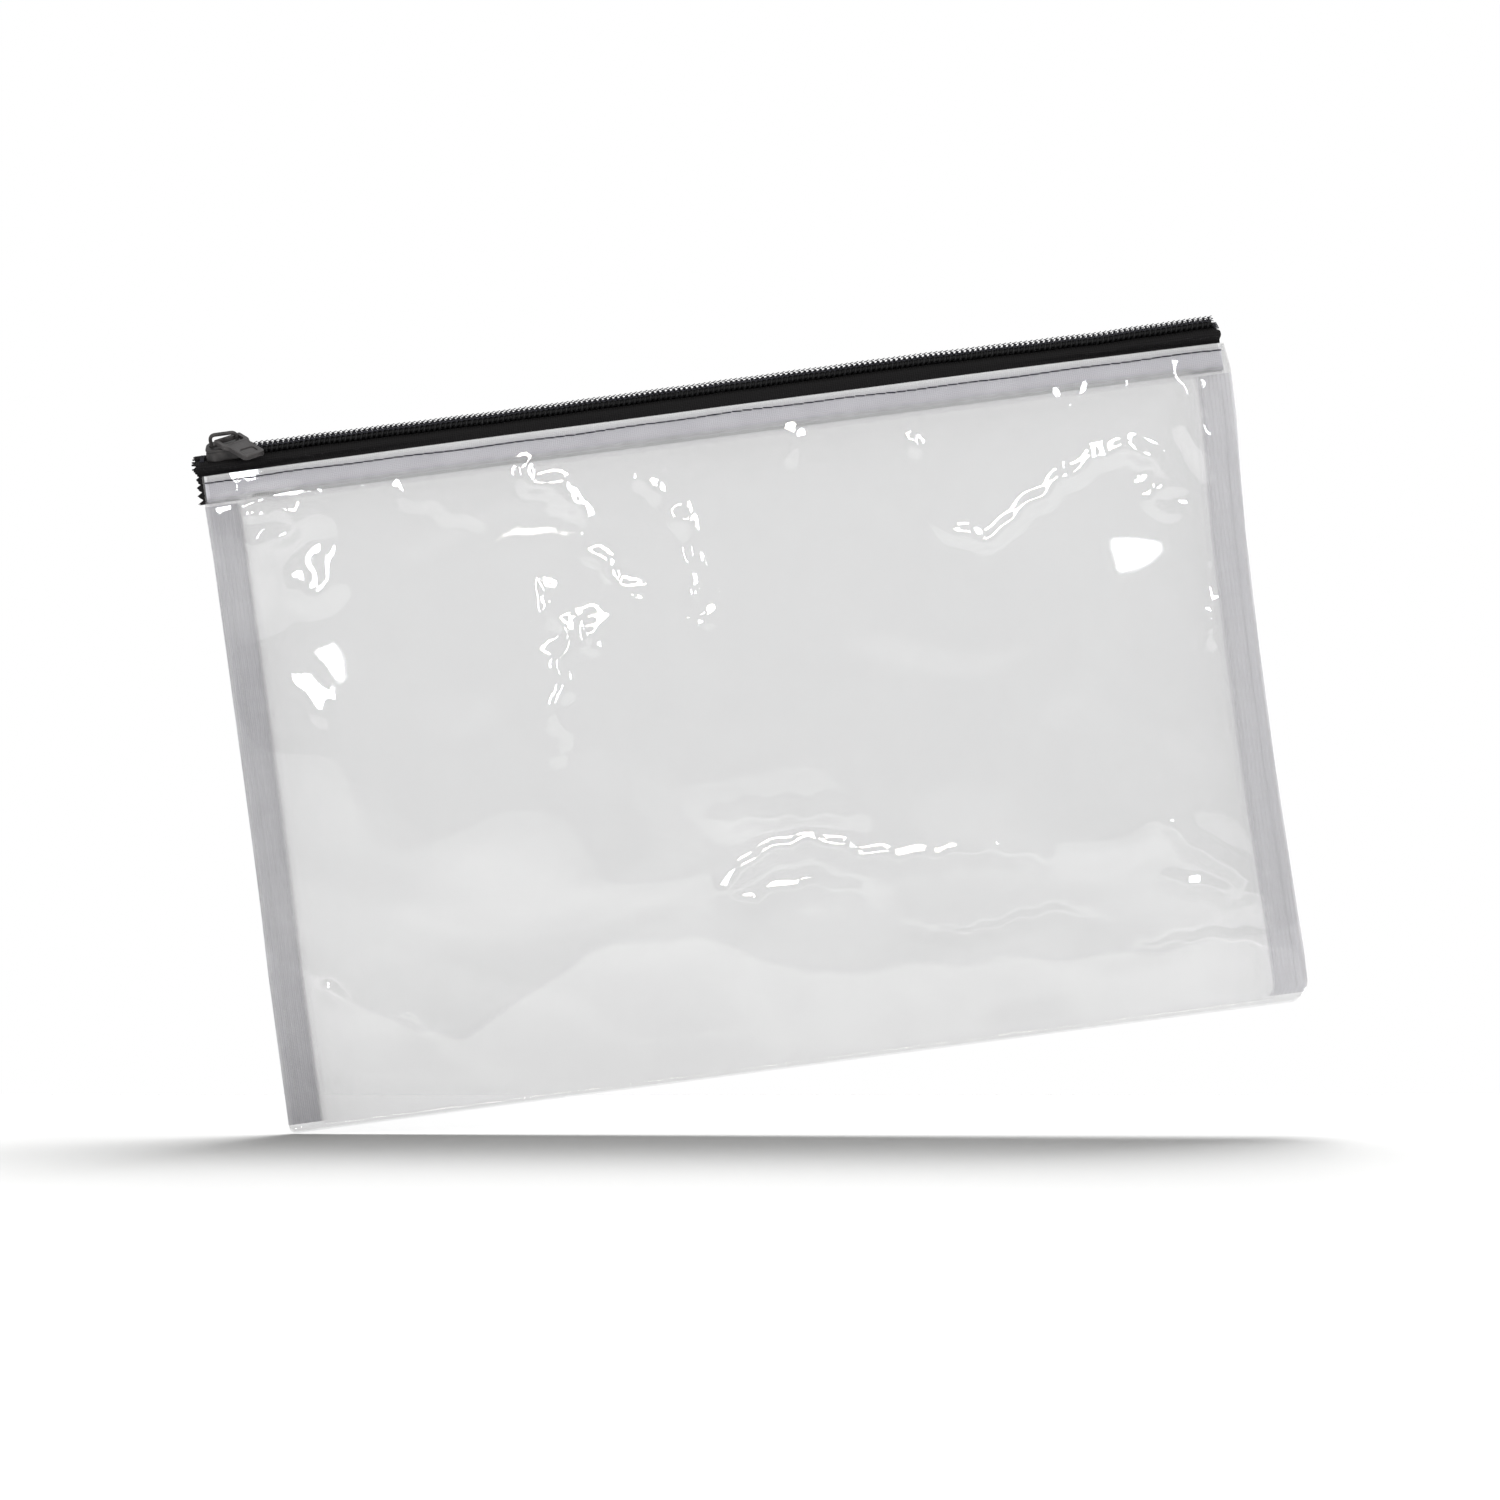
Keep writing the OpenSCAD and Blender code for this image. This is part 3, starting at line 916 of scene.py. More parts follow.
def plate(outline: list[tuple[float, float]], holes: list[list[tuple[float, float]]], low: float,
          high: float, bevel: float) -> tuple[np.ndarray, list]:
    """A flat plate with rounded edges, from a filled outline.

    Args:
        outline: points of its edge.
        holes: points of each hole.
        low: height of its underside.
        high: height of its top.
        bevel: radius of its edges.

    Returns:
        Points and faces.
    """
    curve = bpy.data.curves.new("plate", "CURVE")
    curve.dimensions = "2D"
    curve.fill_mode = "BOTH"
    curve.extrude = (high - low) / 2 - bevel
    curve.bevel_depth = bevel
    curve.bevel_resolution = 2
    for loop in [outline, *holes]:
        spline = curve.splines.new("POLY")
        spline.points.add(len(loop) - 1)
        for point, (x, y) in zip(spline.points, loop):
            point.co = (x, y, 0.0, 1.0)
        spline.use_cyclic_u = True
    curve.offset = -bevel
    holder = bpy.data.objects.new("plate", curve)
    bpy.context.scene.collection.objects.link(holder)
    bpy.context.view_layer.update()
    mesh = bpy.data.meshes.new_from_object(holder.evaluated_get(bpy.context.evaluated_depsgraph_get()))
    bpy.data.objects.remove(holder)
    bpy.data.curves.remove(curve)
    work = bmesh.new()
    work.from_mesh(mesh)
    bmesh.ops.remove_doubles(work, verts=work.verts, dist=1e-4)
    bmesh.ops.recalc_face_normals(work, faces=work.faces)
    points = np.array([v.co for v in work.verts])
    points[:, 2] += (low + high) / 2
    faces = [tuple(v.index for v in f.verts) for f in work.faces]
    work.free()
    bpy.data.meshes.remove(mesh)
    return points, faces


def rounded(corners: list[tuple[float, float, float]], steps: int = 5) -> list[tuple[float, float]]:
    """Rounds the corners of an outline.

    Args:
        corners: X, Y and radius of each corner.
        steps: points at each corner.

    Returns:
        Points of the rounded outline.
    """
    made = []
    for i, (x, y, radius) in enumerate(corners):
        here = np.array([x, y])
        before = np.array(corners[i - 1][:2]) - here
        after = np.array(corners[(i + 1) % len(corners)][:2]) - here
        reach = min(radius, 0.45 * np.linalg.norm(before), 0.45 * np.linalg.norm(after))
        start = here + before / np.linalg.norm(before) * reach
        end = here + after / np.linalg.norm(after) * reach
        for k in range(steps + 1):
            t = k / steps
            point = start * (1 - t) ** 2 + here * 2 * t * (1 - t) + end * t ** 2
            made.append((float(point[0]), float(point[1])))
    return made


# ------------------------------------------------------- geometry node trees


class Growers:
    """Geometry node trees for everything that repeats."""

    def __init__(self) -> None:
        """Builds every tree once."""
        self.coil = self._coil()
        self.stitches = self._stitches()
        self.ribs = self._ribs()

    def _coil(self) -> bpy.types.NodeTree:
        """A wound filament: turns along X with an oval section.

        Returns:
            The tree.
        """
        tree, given, out = new_group(
            "Wound Coil", "GeometryNodeTree",
            {"Geometry": SHAPE, "Turns": NUMBER, "Pitch": NUMBER, "Half Width": NUMBER,
             "Half Height": NUMBER, "Filament Radius": NUMBER, "Finish": FINISH},
            {"Geometry": SHAPE})
        spiral = tree.fed("GeometryNodeCurveSpiral", {"Resolution": 12,
                                                      "Rotations": given.outputs["Turns"],
                                                      "Start Radius": 1.0, "End Radius": 1.0})
        tree.join(tree.math("MULTIPLY", given.outputs["Turns"], given.outputs["Pitch"]),
                  spiral.inputs["Height"])
        split = tree.fed("ShaderNodeSeparateXYZ", {0: tree.add("GeometryNodeInputPosition").outputs[0]})
        place = tree.fed("ShaderNodeCombineXYZ", {
            0: split.outputs[2],
            1: tree.math("MULTIPLY", split.outputs[0], given.outputs["Half Width"]),
            2: tree.math("MULTIPLY", split.outputs[1], given.outputs["Half Height"])})
        shaped = tree.fed("GeometryNodeSetPosition", {"Geometry": spiral.outputs[0],
                                                      "Position": place.outputs[0]})
        circle = tree.fed("GeometryNodeCurvePrimitiveCircle",
                          {"Resolution": 6, "Radius": given.outputs["Filament Radius"]}, mode="RADIUS")
        self._close(tree, self._tube(tree, shaped.outputs[0], circle.outputs[0]), given, out)
        return tree.tree

    def _stitches(self) -> bpy.types.NodeTree:
        """Arched stitches in a row along a path.

        Returns:
            The tree.
        """
        tree, given, out = new_group(
            "Stitch Row", "GeometryNodeTree",
            {"Geometry": SHAPE, "Pitch": NUMBER, "Stitch Length": NUMBER, "Thread Radius": NUMBER,
             "Arch": NUMBER, "Slant": NUMBER, "Wander": NUMBER, "Seed": WHOLE, "Finish": FINISH},
            {"Geometry": SHAPE})
        path = tree.fed("GeometryNodeMeshToCurve", {"Mesh": given.outputs["Geometry"]})
        even = tree.fed("GeometryNodeResampleCurve",
                        {"Curve": path.outputs[0], "Length": given.outputs["Pitch"]}, mode="LENGTH")
        half = tree.math("MULTIPLY", given.outputs["Stitch Length"], 0.5)
        bow = tree.fed("GeometryNodeCurveQuadraticBezier", {"Resolution": 6})
        for name, along, above in (("Start", tree.math("MULTIPLY", half, -1.0), 0.0),
                                   ("Middle", 0.0, tree.math("MULTIPLY", given.outputs["Arch"], -2.0)),
                                   ("End", half, 0.0)):
            place = tree.fed("ShaderNodeCombineXYZ", {0: along, 1: above})
            tree.join(place.outputs[0], bow.inputs[name])
        circle = tree.fed("GeometryNodeCurvePrimitiveCircle",
                          {"Resolution": 6, "Radius": given.outputs["Thread Radius"]}, mode="RADIUS")
        stitch = self._tube(tree, bow.outputs[0], circle.outputs[0])
        tangent = tree.add("GeometryNodeInputTangent")
        facing = tree.fed("FunctionNodeAlignRotationToVector", {"Vector": tangent.outputs[0]}, axis="X")
        placed = tree.fed("GeometryNodeInstanceOnPoints", {"Points": even.outputs[0], "Instance": stitch,
                                                           "Rotation": facing.outputs[0]})
        chance = tree.fed("FunctionNodeRandomValue",
                          {2: tree.math("MULTIPLY", given.outputs["Wander"], -1.0),
                           3: given.outputs["Wander"], "Seed": given.outputs["Seed"]}, data_type="FLOAT")
        tilt = tree.math("ADD", chance.outputs[1], given.outputs["Slant"])
        turn = tree.fed("ShaderNodeCombineXYZ", {1: tilt})
        turned = tree.fed("GeometryNodeRotateInstances", {"Instances": placed.outputs[0],
                                                          "Rotation": turn.outputs[0]})
        self._close(tree, turned.outputs[0], given, out)
        return tree.tree

    def _ribs(self) -> bpy.types.NodeTree:
        """Ribs raised on the marked face of a sheet.

        Returns:
            The tree.
        """
        tree, given, out = new_group(
            "Raised Ribs", "GeometryNodeTree",
            {"Geometry": SHAPE, "Rib Pitch": NUMBER, "Rib Depth": NUMBER, "Finish": FINISH},
            {"Geometry": SHAPE})
        split = tree.fed("ShaderNodeSeparateXYZ", {0: tree.add("GeometryNodeInputPosition").outputs[0]})
        turn = tree.math("MULTIPLY", tree.math("DIVIDE", split.outputs[0], given.outputs["Rib Pitch"]),
                         2.0 * math.pi)
        wave = tree.math("MULTIPLY_ADD", tree.math("SINE", turn), 0.5, 0.5)
        mark = tree.fed("GeometryNodeInputNamedAttribute", {"Name": "rib"}, data_type="FLOAT")
        rise = tree.math("MULTIPLY", tree.math("MULTIPLY", wave, given.outputs["Rib Depth"]),
                         mark.outputs[0])
        lift = tree.fed("ShaderNodeCombineXYZ", {1: rise})
        raised = tree.fed("GeometryNodeSetPosition", {"Geometry": given.outputs["Geometry"],
                                                      "Offset": lift.outputs[0]})
        self._close(tree, raised.outputs[0], given, out)
        return tree.tree

    def _tube(self, tree: Tree, line: object, circle: object) -> bpy.types.NodeSocket:
        """Turns a curve into a capped tube.

        Args:
            tree: the tree.
            line: the curve's socket.
            circle: the profile's socket.

        Returns:
            The mesh's socket.
        """
        tube = tree.fed("GeometryNodeCurveToMesh", {"Curve": line, "Profile Curve": circle,
                                                    "Fill Caps": True})
        smooth = tree.fed("GeometryNodeSetShadeSmooth", {"Geometry": tube.outputs[0]})
        return smooth.outputs[0]

    def _close(self, tree: Tree, shape: object, given: bpy.types.Node, out: bpy.types.Node) -> None:
        """Ends a tree in Realize Instances and Set Material.

        Args:
            tree: the tree.
            shape: the socket of the finished shape.
            given: the tree's input node.
            out: the tree's output node.
        """
        real = tree.fed("GeometryNodeRealizeInstances", {0: shape})
        dressed = tree.fed("GeometryNodeSetMaterial", {"Geometry": real.outputs[0],
                                                       "Material": given.outputs["Finish"]})
        tree.join(dressed.outputs[0], out.inputs["Geometry"])


def grow(made: bpy.types.Object, tree: bpy.types.NodeTree, **values: object) -> bpy.types.Object:
    """Runs a geometry node tree on an object and keeps the plain mesh.

    Args:
        made: the object that carries the tree's geometry.
        tree: the tree.
        values: a value for each named input; an underscore stands for a space.

    Returns:
        The same object, with the mesh that the tree makes.
    """
    modifier = made.modifiers.new("grow", "NODES")
    modifier.node_group = tree
    sockets = {item.name: item.identifier for item in tree.interface.items_tree
               if item.in_out == "INPUT"}
    for name, value in values.items():
        modifier[sockets[name.replace("_", " ")]] = value
    made.update_tag()
    bpy.context.view_layer.update()
    mesh = bpy.data.meshes.new_from_object(made.evaluated_get(bpy.context.evaluated_depsgraph_get()))
    made.modifiers.clear()
    old = made.data
    mesh.name = made.name
    made.data = mesh
    bpy.data.meshes.remove(old)
    return made


def path_object(name: str, points: np.ndarray) -> bpy.types.Object:
    """An object that holds only a path, for a tree to work on.

    Args:
        name: the piece's name.
        points: points of the path in millimetres.

    Returns:
        The object.
    """
    mesh = bpy.data.meshes.new(name)
    mesh.from_pydata((points * MM).tolist(), [(i, i + 1) for i in range(len(points) - 1)], [])
    made = bpy.data.objects.new(name, mesh)
    bpy.context.scene.collection.objects.link(made)
    return made


# ----------------------------------------------------------------- bag shape


def ease(t: np.ndarray) -> np.ndarray:
    """Returns the smooth step from 0 to 1 for a share of the way."""
    c = np.clip(t, 0.0, 1.0)
    return c * c * (3.0 - 2.0 * c)


@dataclass(frozen=True)
class BagForm:
    """The bag's main shape, as the solid model has it."""

    half_w: float = 152.4
    film_h: float = 197.0
    film_t: float = 0.45
    edge_depth: float = 3.6
    top_edge_depth: float = 6.0
    middle_depth: float = 14.5
    mouth_depth: float = 12.0
    facing_h: float = 9.5
    facing_t: float = 0.45
    back_y: float = 9.9
    start_z: float = 2.3
    swell_h: float = 60.0
    hem_z: float = 185.5
    flare_from_z: float = 140.0
    draw_in_from_z: float = 110.0
    swell_power: float = 3.5
    stitch_z: float = 194.7
    blend_from: float = 136.0
    seam_show: float = 0.6

    def seam_depth(self, z: np.ndarray) -> np.ndarray:
        """Returns the depth from front to back at the side seams, for each height."""
        share = ease((z - self.flare_from_z) / (self.hem_z - self.flare_from_z))
        return self.edge_depth + (self.top_edge_depth - self.edge_depth) * share

    def front_y(self, x: np.ndarray, z: np.ndarray) -> np.ndarray:
        """Y of the front face before any creases.

        Args:
            x: places along the zipper.
            z: heights.

        Returns:
            Y of each point.
        """
        rise = 1.0 - (1.0 - np.clip((z - self.start_z) / self.swell_h, 0.0, 1.0)) ** 2
        share = ease((z - self.draw_in_from_z) / (self.hem_z - self.draw_in_from_z))
        middle = self.middle_depth - self.edge_depth
        mouth = self.mouth_depth - self.top_edge_depth
        swell = rise * (middle + (mouth - middle) * share)
        across = 1.0 - np.clip(np.abs(x) / self.half_w, 0.0, 1.0) ** self.swell_power
        return self.back_y - self.seam_depth(z) - swell * across

    def edge_x(self, z: np.ndarray, side: Side) -> np.ndarray:
        """How far the side seam stands from the middle at each height.

        Args:
            z: heights.
            side: which seam.

        Returns:
            Distances from the middle.
        """
        if side is Side.LEFT:
            heights = [0.0, 2.0, 47.0, 65.0, 82.0, 118.0, 154.0, 172.0, 190.0, 197.0]
            widths = [151.9, 152.1, 152.3, 152.0, 151.9, 152.0, 152.2, 152.3, 152.8, 153.0]
        else:
            heights = [0.0, 1.5, 4.9, 15.0, 33.0, 51.0, 69.0, 105.0, 140.0, 158.0, 176.0, 190.0, 197.0]
            widths = [149.4, 150.7, 153.0, 153.1, 152.6, 152.2, 151.8, 151.7, 152.1, 152.9, 153.9, 154.0,
                      152.9]
        return np.interp(z, heights, widths) + self.seam_show


@dataclass(frozen=True)
class Crease:
    """A line pressed into the film."""

    line: tuple[tuple[float, float], ...]
    height: float
    width: float
    wobble: float = 0.7


@dataclass(frozen=True)
class Patch:
    """A crumpled patch of film."""

    middle: tuple[float, float]
    reach: tuple[float, float]
    height: float
    grain: float


@dataclass(frozen=True)
class Facet:
    """A small part of the film that lies tilted, with a soft edge."""

    middle: tuple[float, float]
    reach: tuple[float, float]
    tilt: tuple[float, float]
    turn_deg: float = 0.0


@dataclass
class Relief:
    """Creases, crumples and soft waves of one film wall. Heights count outwards."""

    creases: tuple[Crease, ...] = ()
    patches: tuple[Patch, ...] = ()
    facets: tuple[Facet, ...] = ()
    wave: float = 0.3
    seed: int = SEED

    def __post_init__(self) -> None:
        """Draws the soft waves and lays out each crease's line."""
        chance = np.random.default_rng(self.seed)
        self._waves = [(chance.uniform(0.05, 0.16), chance.uniform(-math.pi, math.pi),
                        chance.uniform(0, 6.28)) for _ in range(9)]
        self._crumples = [(chance.uniform(0.5, 1.4), chance.uniform(-math.pi, math.pi),
                           chance.uniform(0, 6.28)) for _ in range(14)]
        self._lines = [self._smooth_line(c, chance) for c in self.creases]

    def _smooth_line(self, crease: Crease, chance: np.random.Generator) -> np.ndarray:
        """A smooth wandering line through a crease's points.

        Args:
            crease: the crease.
            chance: source of the wandering.

        Returns:
            Points about a millimetre apart, with their share of the way.
        """
        knots = np.array(crease.line, float)
        knots = np.vstack([2 * knots[0] - knots[1], knots, 2 * knots[-1] - knots[-2]])
        made = []
        for p0, p1, p2, p3 in zip(knots, knots[1:], knots[2:], knots[3:]):
            steps = max(2, int(np.linalg.norm(p2 - p1)))
            for t in np.linspace(0, 1, steps, endpoint=False):
                made.append(0.5 * (2 * p1 + (p2 - p0) * t + (2 * p0 - 5 * p1 + 4 * p2 - p3) * t * t
                                   + (3 * p1 - p0 - 3 * p2 + p3) * t ** 3))
        line = np.array([*made, knots[-2]])
        share = np.linspace(0, 1, len(line))
        phase = chance.uniform(0, 6.28, 2)
        reach = np.arange(len(line))
        line[:, 0] += crease.wobble * np.sin(reach * 0.45 + phase[0])
        line[:, 1] += crease.wobble * np.sin(reach * 0.6 + phase[1])
        return np.column_stack([line, share])

    def height(self, x: np.ndarray, z: np.ndarray) -> np.ndarray:
        """Height of the relief.

        Args:
            x: places along the zipper.
            z: heights in the bag.

        Returns:
            Millimetres outwards for each point.
        """
        total = np.zeros_like(x)
        for freq, direction, phase in self._waves:
            along = x * math.cos(direction) + z * math.sin(direction)
            total += self.wave / 3.0 * np.sin(freq * along + phase)
        for crease, line in zip(self.creases, self._lines):
            reach = 3.08 * crease.width
            near = ((x > line[:, 0].min() - reach) & (x < line[:, 0].max() + reach)
                    & (z > line[:, 1].min() - reach) & (z < line[:, 1].max() + reach))
            if not near.any():
                continue
            gap = (x[near][:, None] - line[None, :, 0]) ** 2 + (z[near][:, None] - line[None, :, 1]) ** 2
            best = gap.argmin(axis=1)
            squared = gap[np.arange(len(best)), best]
            taper = np.sin(np.pi * np.clip(line[best, 2], 0.02, 0.98)) ** 0.5
            total[near] += crease.height * np.exp(-squared / crease.width ** 2) * taper
        for patch in self.patches:
            inside = np.exp(-((x - patch.middle[0]) / patch.reach[0]) ** 2
                            - ((z - patch.middle[1]) / patch.reach[1]) ** 2)
            rough = np.zeros_like(x)
            for freq, direction, phase in self._crumples:
                along = x * math.cos(direction) + z * math.sin(direction)
                rough += np.sin(freq * patch.grain * along + phase)
            total += patch.height / 3.0 * rough * inside
        for facet in self.facets:
            along, above = x - facet.middle[0], z - facet.middle[1]
            c, s = math.cos(math.radians(facet.turn_deg)), math.sin(math.radians(facet.turn_deg))
            far = (((along * c + above * s) / facet.reach[0]) ** 2
                   + ((above * c - along * s) / facet.reach[1]) ** 2)
            total -= (along * facet.tilt[0] + above * facet.tilt[1]) * np.exp(-far * far)
        return total


@dataclass
class FilmWalls:
    """The clear film: one length, folded at the bottom and sewn up the sides."""

    form: BagForm
    relief: Relief
    back_relief: Relief
    seam_turn_deg: float = 70.0
    column_step: float = 1.25
    row_step: float = 1.25
    band_edge: float = 141.0
    # darkness and reach of the painted shade along the side seams and along the hem
    seam_margins: tuple[tuple[float, float], ...] = ((0.5, 6.0), (0.3, 20.0))
    hem_margin: tuple[float, float] = (0.75, 7.5)

    def settle(self, x: np.ndarray, z: np.ndarray) -> np.ndarray:
        """Returns how free the film is to crease: 0 at its seams, hem and fold, 1 elsewhere."""
        sides = ease((self.form.half_w + 1.0 - np.abs(x)) / 9.0)
        return sides * ease((z - 3.0) / 12.0) * (0.12 + 0.88 * ease((196.0 - z) / 9.0))

    def front_face(self, x: np.ndarray, z: np.ndarray) -> np.ndarray:
        """Y of the front film's outer face, creases and hem puckers included.

        Args:
            x: places along the zipper.
            z: heights.

        Returns:
            Y of each point.
        """
        pucker = 0.16 * np.sin(x * 0.52 + 1.7 * np.sin(x * 0.071)) * ease((z - 150.0) / 34.0)
        pucker *= ease((193.0 - z) / 6.0)
        hem_wave = 0.25 * np.sin(x * 0.083 + 0.8) * ease((z - 120.0) / 60.0)
        free = self.settle(x, z)
        raised = (self.relief.height(x, z) + pucker) * free
        return self.form.front_y(x, z) - raised - hem_wave * sides_free(x)

    def touching(self, x: np.ndarray, z: np.ndarray) -> np.ndarray:
        """Where the two walls lie on each other near the fold and look clearer; the lighter tint there is
        painted light, with none of the inner shade that the walls above carry.

        Args:
            x: places along the zipper.
            z: heights.

        Returns:
            Share from 0 to 1.
        """
        line_x = [-154, -143.9, -128, -110.5, -97, -83.3, -70, -56.6, -38.5, -24, -12.5, 6.1, 28.4, 61.8,
                  84, 106.0, 133.0, 154]
        line_z = [58, 50.0, 38.0, 25.6, 23.5, 28.6, 37.0, 43.0, 45.0, 42.5, 38.3, 28.1, 27.3, 25.3,
                  22.6, 21.5, 22.5, 24]
        top = np.interp(x, line_x, line_z) + 0.9 * np.sin(x * 0.21)
        return ease((top - z) / 2.4)

    def _turned(self, x_edge: np.ndarray, radius: np.ndarray, steps: int) -> tuple[np.ndarray, np.ndarray]:
        """Returns the columns, as places and flattening, that turn the side edge into the seam."""
        turn = np.radians(np.linspace(0.0, self.seam_turn_deg, steps + 1))[1:, None]
        places = (x_edge - radius)[None, :] + radius[None, :] * np.sin(turn)
        return places, np.cos(turn) * np.ones_like(x_edge)

    def painted_edge_shade(self, x: np.ndarray, z: np.ndarray) -> np.ndarray:
        """Painted shade on the front wall, where it curves in to its seams and hem: the film is made darker
        there.

        Args:
            x: places along the zipper.
            z: heights.

        Returns:
            Share from 0 to 1.
        """
        from_seam = self.band_edge - np.abs(x)
        from_hem = self.form.film_h - self.form.facing_h + 1.5 - z
        inward, down = np.clip(from_seam, 0.0, None), np.clip(from_hem, 0.0, None)
        sides = sum(dark * np.exp(-inward / reach) for dark, reach in self.seam_margins)
        top = self.hem_margin[0] * np.exp(-down / self.hem_margin[1])
        return np.maximum(sides, top) * ease((from_seam + 2.0) / 2.0) * ease((from_hem + 2.0) / 2.0)

    def front_half(self, side: Side, film: bpy.types.Material,
                   join: bpy.types.Material) -> bpy.types.Object:
        """One half of the front wall.

        Args:
            side: which half.
            film: the film's finish.
            join: finish of the cut faces at the middle.

        Returns:
            The piece.
        """
        form = self.form
        z = np.linspace(1.85, form.film_h, int(195 / self.row_step))
        x_edge = form.edge_x(z, side)
        radius = form.seam_depth(z) / 2
        count = int(form.half_w / self.column_step)
        share = np.linspace(0.0, 1.0, count)
        flat = share[:, None] * (x_edge - radius)[None, :]
        turned, squeeze = self._turned(x_edge, radius, 6)
        x = np.concatenate([flat, turned]) * side.value
        rows = np.broadcast_to(z, x.shape)
        face = self.front_face(x, rows)
        middle = form.back_y - form.seam_depth(z) / 2
        pull = np.concatenate([np.ones_like(flat), squeeze])
        y = middle[None, :] + (face - middle[None, :]) * pull
        net = np.stack([x, y, rows], axis=-1)
        if side is Side.LEFT:
            net = net[::-1]
        marks = {"touching": self.touching(net[..., 0], net[..., 2]),
                 "painted_edge_shade": self.painted_edge_shade(net[..., 0], net[..., 2])}
        made = shell(f"film_front_{side.word}", net, form.film_t, film, marks=marks)
        made.data.materials.append(join)
        for face in made.data.polygons:
            if all(abs(made.data.vertices[v].co.x) < 1e-5 for v in face.vertices):
                face.material_index = 1
        return made

    def back_wall(self, film: bpy.types.Material) -> bpy.types.Object:
        """The back wall with the bottom fold.

        Args:
            film: the film's finish.

        Returns:
            The piece.
        """
        form = self.form
        radius = form.edge_depth / 2
        turn = np.linspace(math.pi, 2 * math.pi, 13)
        rise = np.linspace(radius, form.film_h, int(195 / (1.6 * self.row_step)))[1:]
        path_y = np.concatenate([form.back_y - radius + radius * np.cos(turn),
                                 np.full(len(rise), form.back_y)])
        path_z = np.concatenate([radius + radius * np.sin(turn), rise])
        level = np.maximum(path_z, 0.0)
        depth = form.seam_depth(level)
        columns = []
        for side in (Side.RIGHT, Side.LEFT):
            edge = form.edge_x(level, side)
            share = np.linspace(1.0, 0.0, int(form.half_w / (1.6 * self.column_step)))
            flat = share[:, None] * (edge - depth / 2)[None, :]
            turned, squeeze = self._turned(edge, depth / 2, 6)
            x = np.concatenate([turned[::-1], flat])
            pull = np.concatenate([squeeze[::-1], np.ones_like(flat)])
            if side is Side.LEFT:
                x, pull = -x[::-1][1:], pull[::-1][1:]
            columns.append((x, pull))
        x = np.concatenate([columns[0][0], columns[1][0]])
        pull = np.concatenate([columns[0][1], columns[1][1]])
        y_row, z_row = np.broadcast_to(path_y, x.shape), np.broadcast_to(path_z, x.shape)
        free = self.settle(x, z_row) * (z_row > 3.0)
        face = y_row + self.back_relief.height(x, z_row) * free
        middle_y = np.where(z_row > radius, form.back_y - depth[None, :] / 2, form.back_y - radius)
        y = middle_y + (face - middle_y) * pull
        z = np.where(z_row < radius, radius + (z_row - radius) * pull, z_row)
        net = np.stack([x, y, z], axis=-1)
        wall = np.cumsum(np.hypot(np.diff(path_y, prepend=path_y[0]), np.diff(path_z, prepend=path_z[0])))
        surface = np.stack([x, np.broadcast_to(wall, x.shape)], axis=-1) / 100.0
        marks = {"touching": self.touching(x, z) * 0.8}
        return shell("film_back", net, form.film_t, film, surface=surface, marks=marks)

    def allowance(self, side: Side, film: bpy.types.Material) -> bpy.types.Object:
        """The seam allowance that is turned inside, under its binding.

        Args:
            side: which seam.
            film: the film's finish.

        Returns:
            The piece.
        """
        form = self.form
        z = np.linspace(2.6, form.hem_z - 1.0, 90)
        share = np.linspace(0.0, 1.0, 8)
        outer = form.edge_x(z, side) - 1.0
        x = (outer[None, :] - 9.2 * (1.0 - share[:, None])) * side.value
        y = np.full_like(x, 7.95)
        net = np.stack([x, y, np.broadcast_to(z, x.shape)], axis=-1)
        if side is Side.LEFT:
            net = net[::-1]
        return shell(f"seam_allowance_{side.word}", net, form.film_t, film,
                     marks={"touching": np.zeros_like(x)})


def sides_free(x: np.ndarray) -> np.ndarray:
    """Returns the share, from 0 to 1, of a soft wave that is left towards the side seams."""
    return ease((150.0 - np.abs(x)) / 40.0)


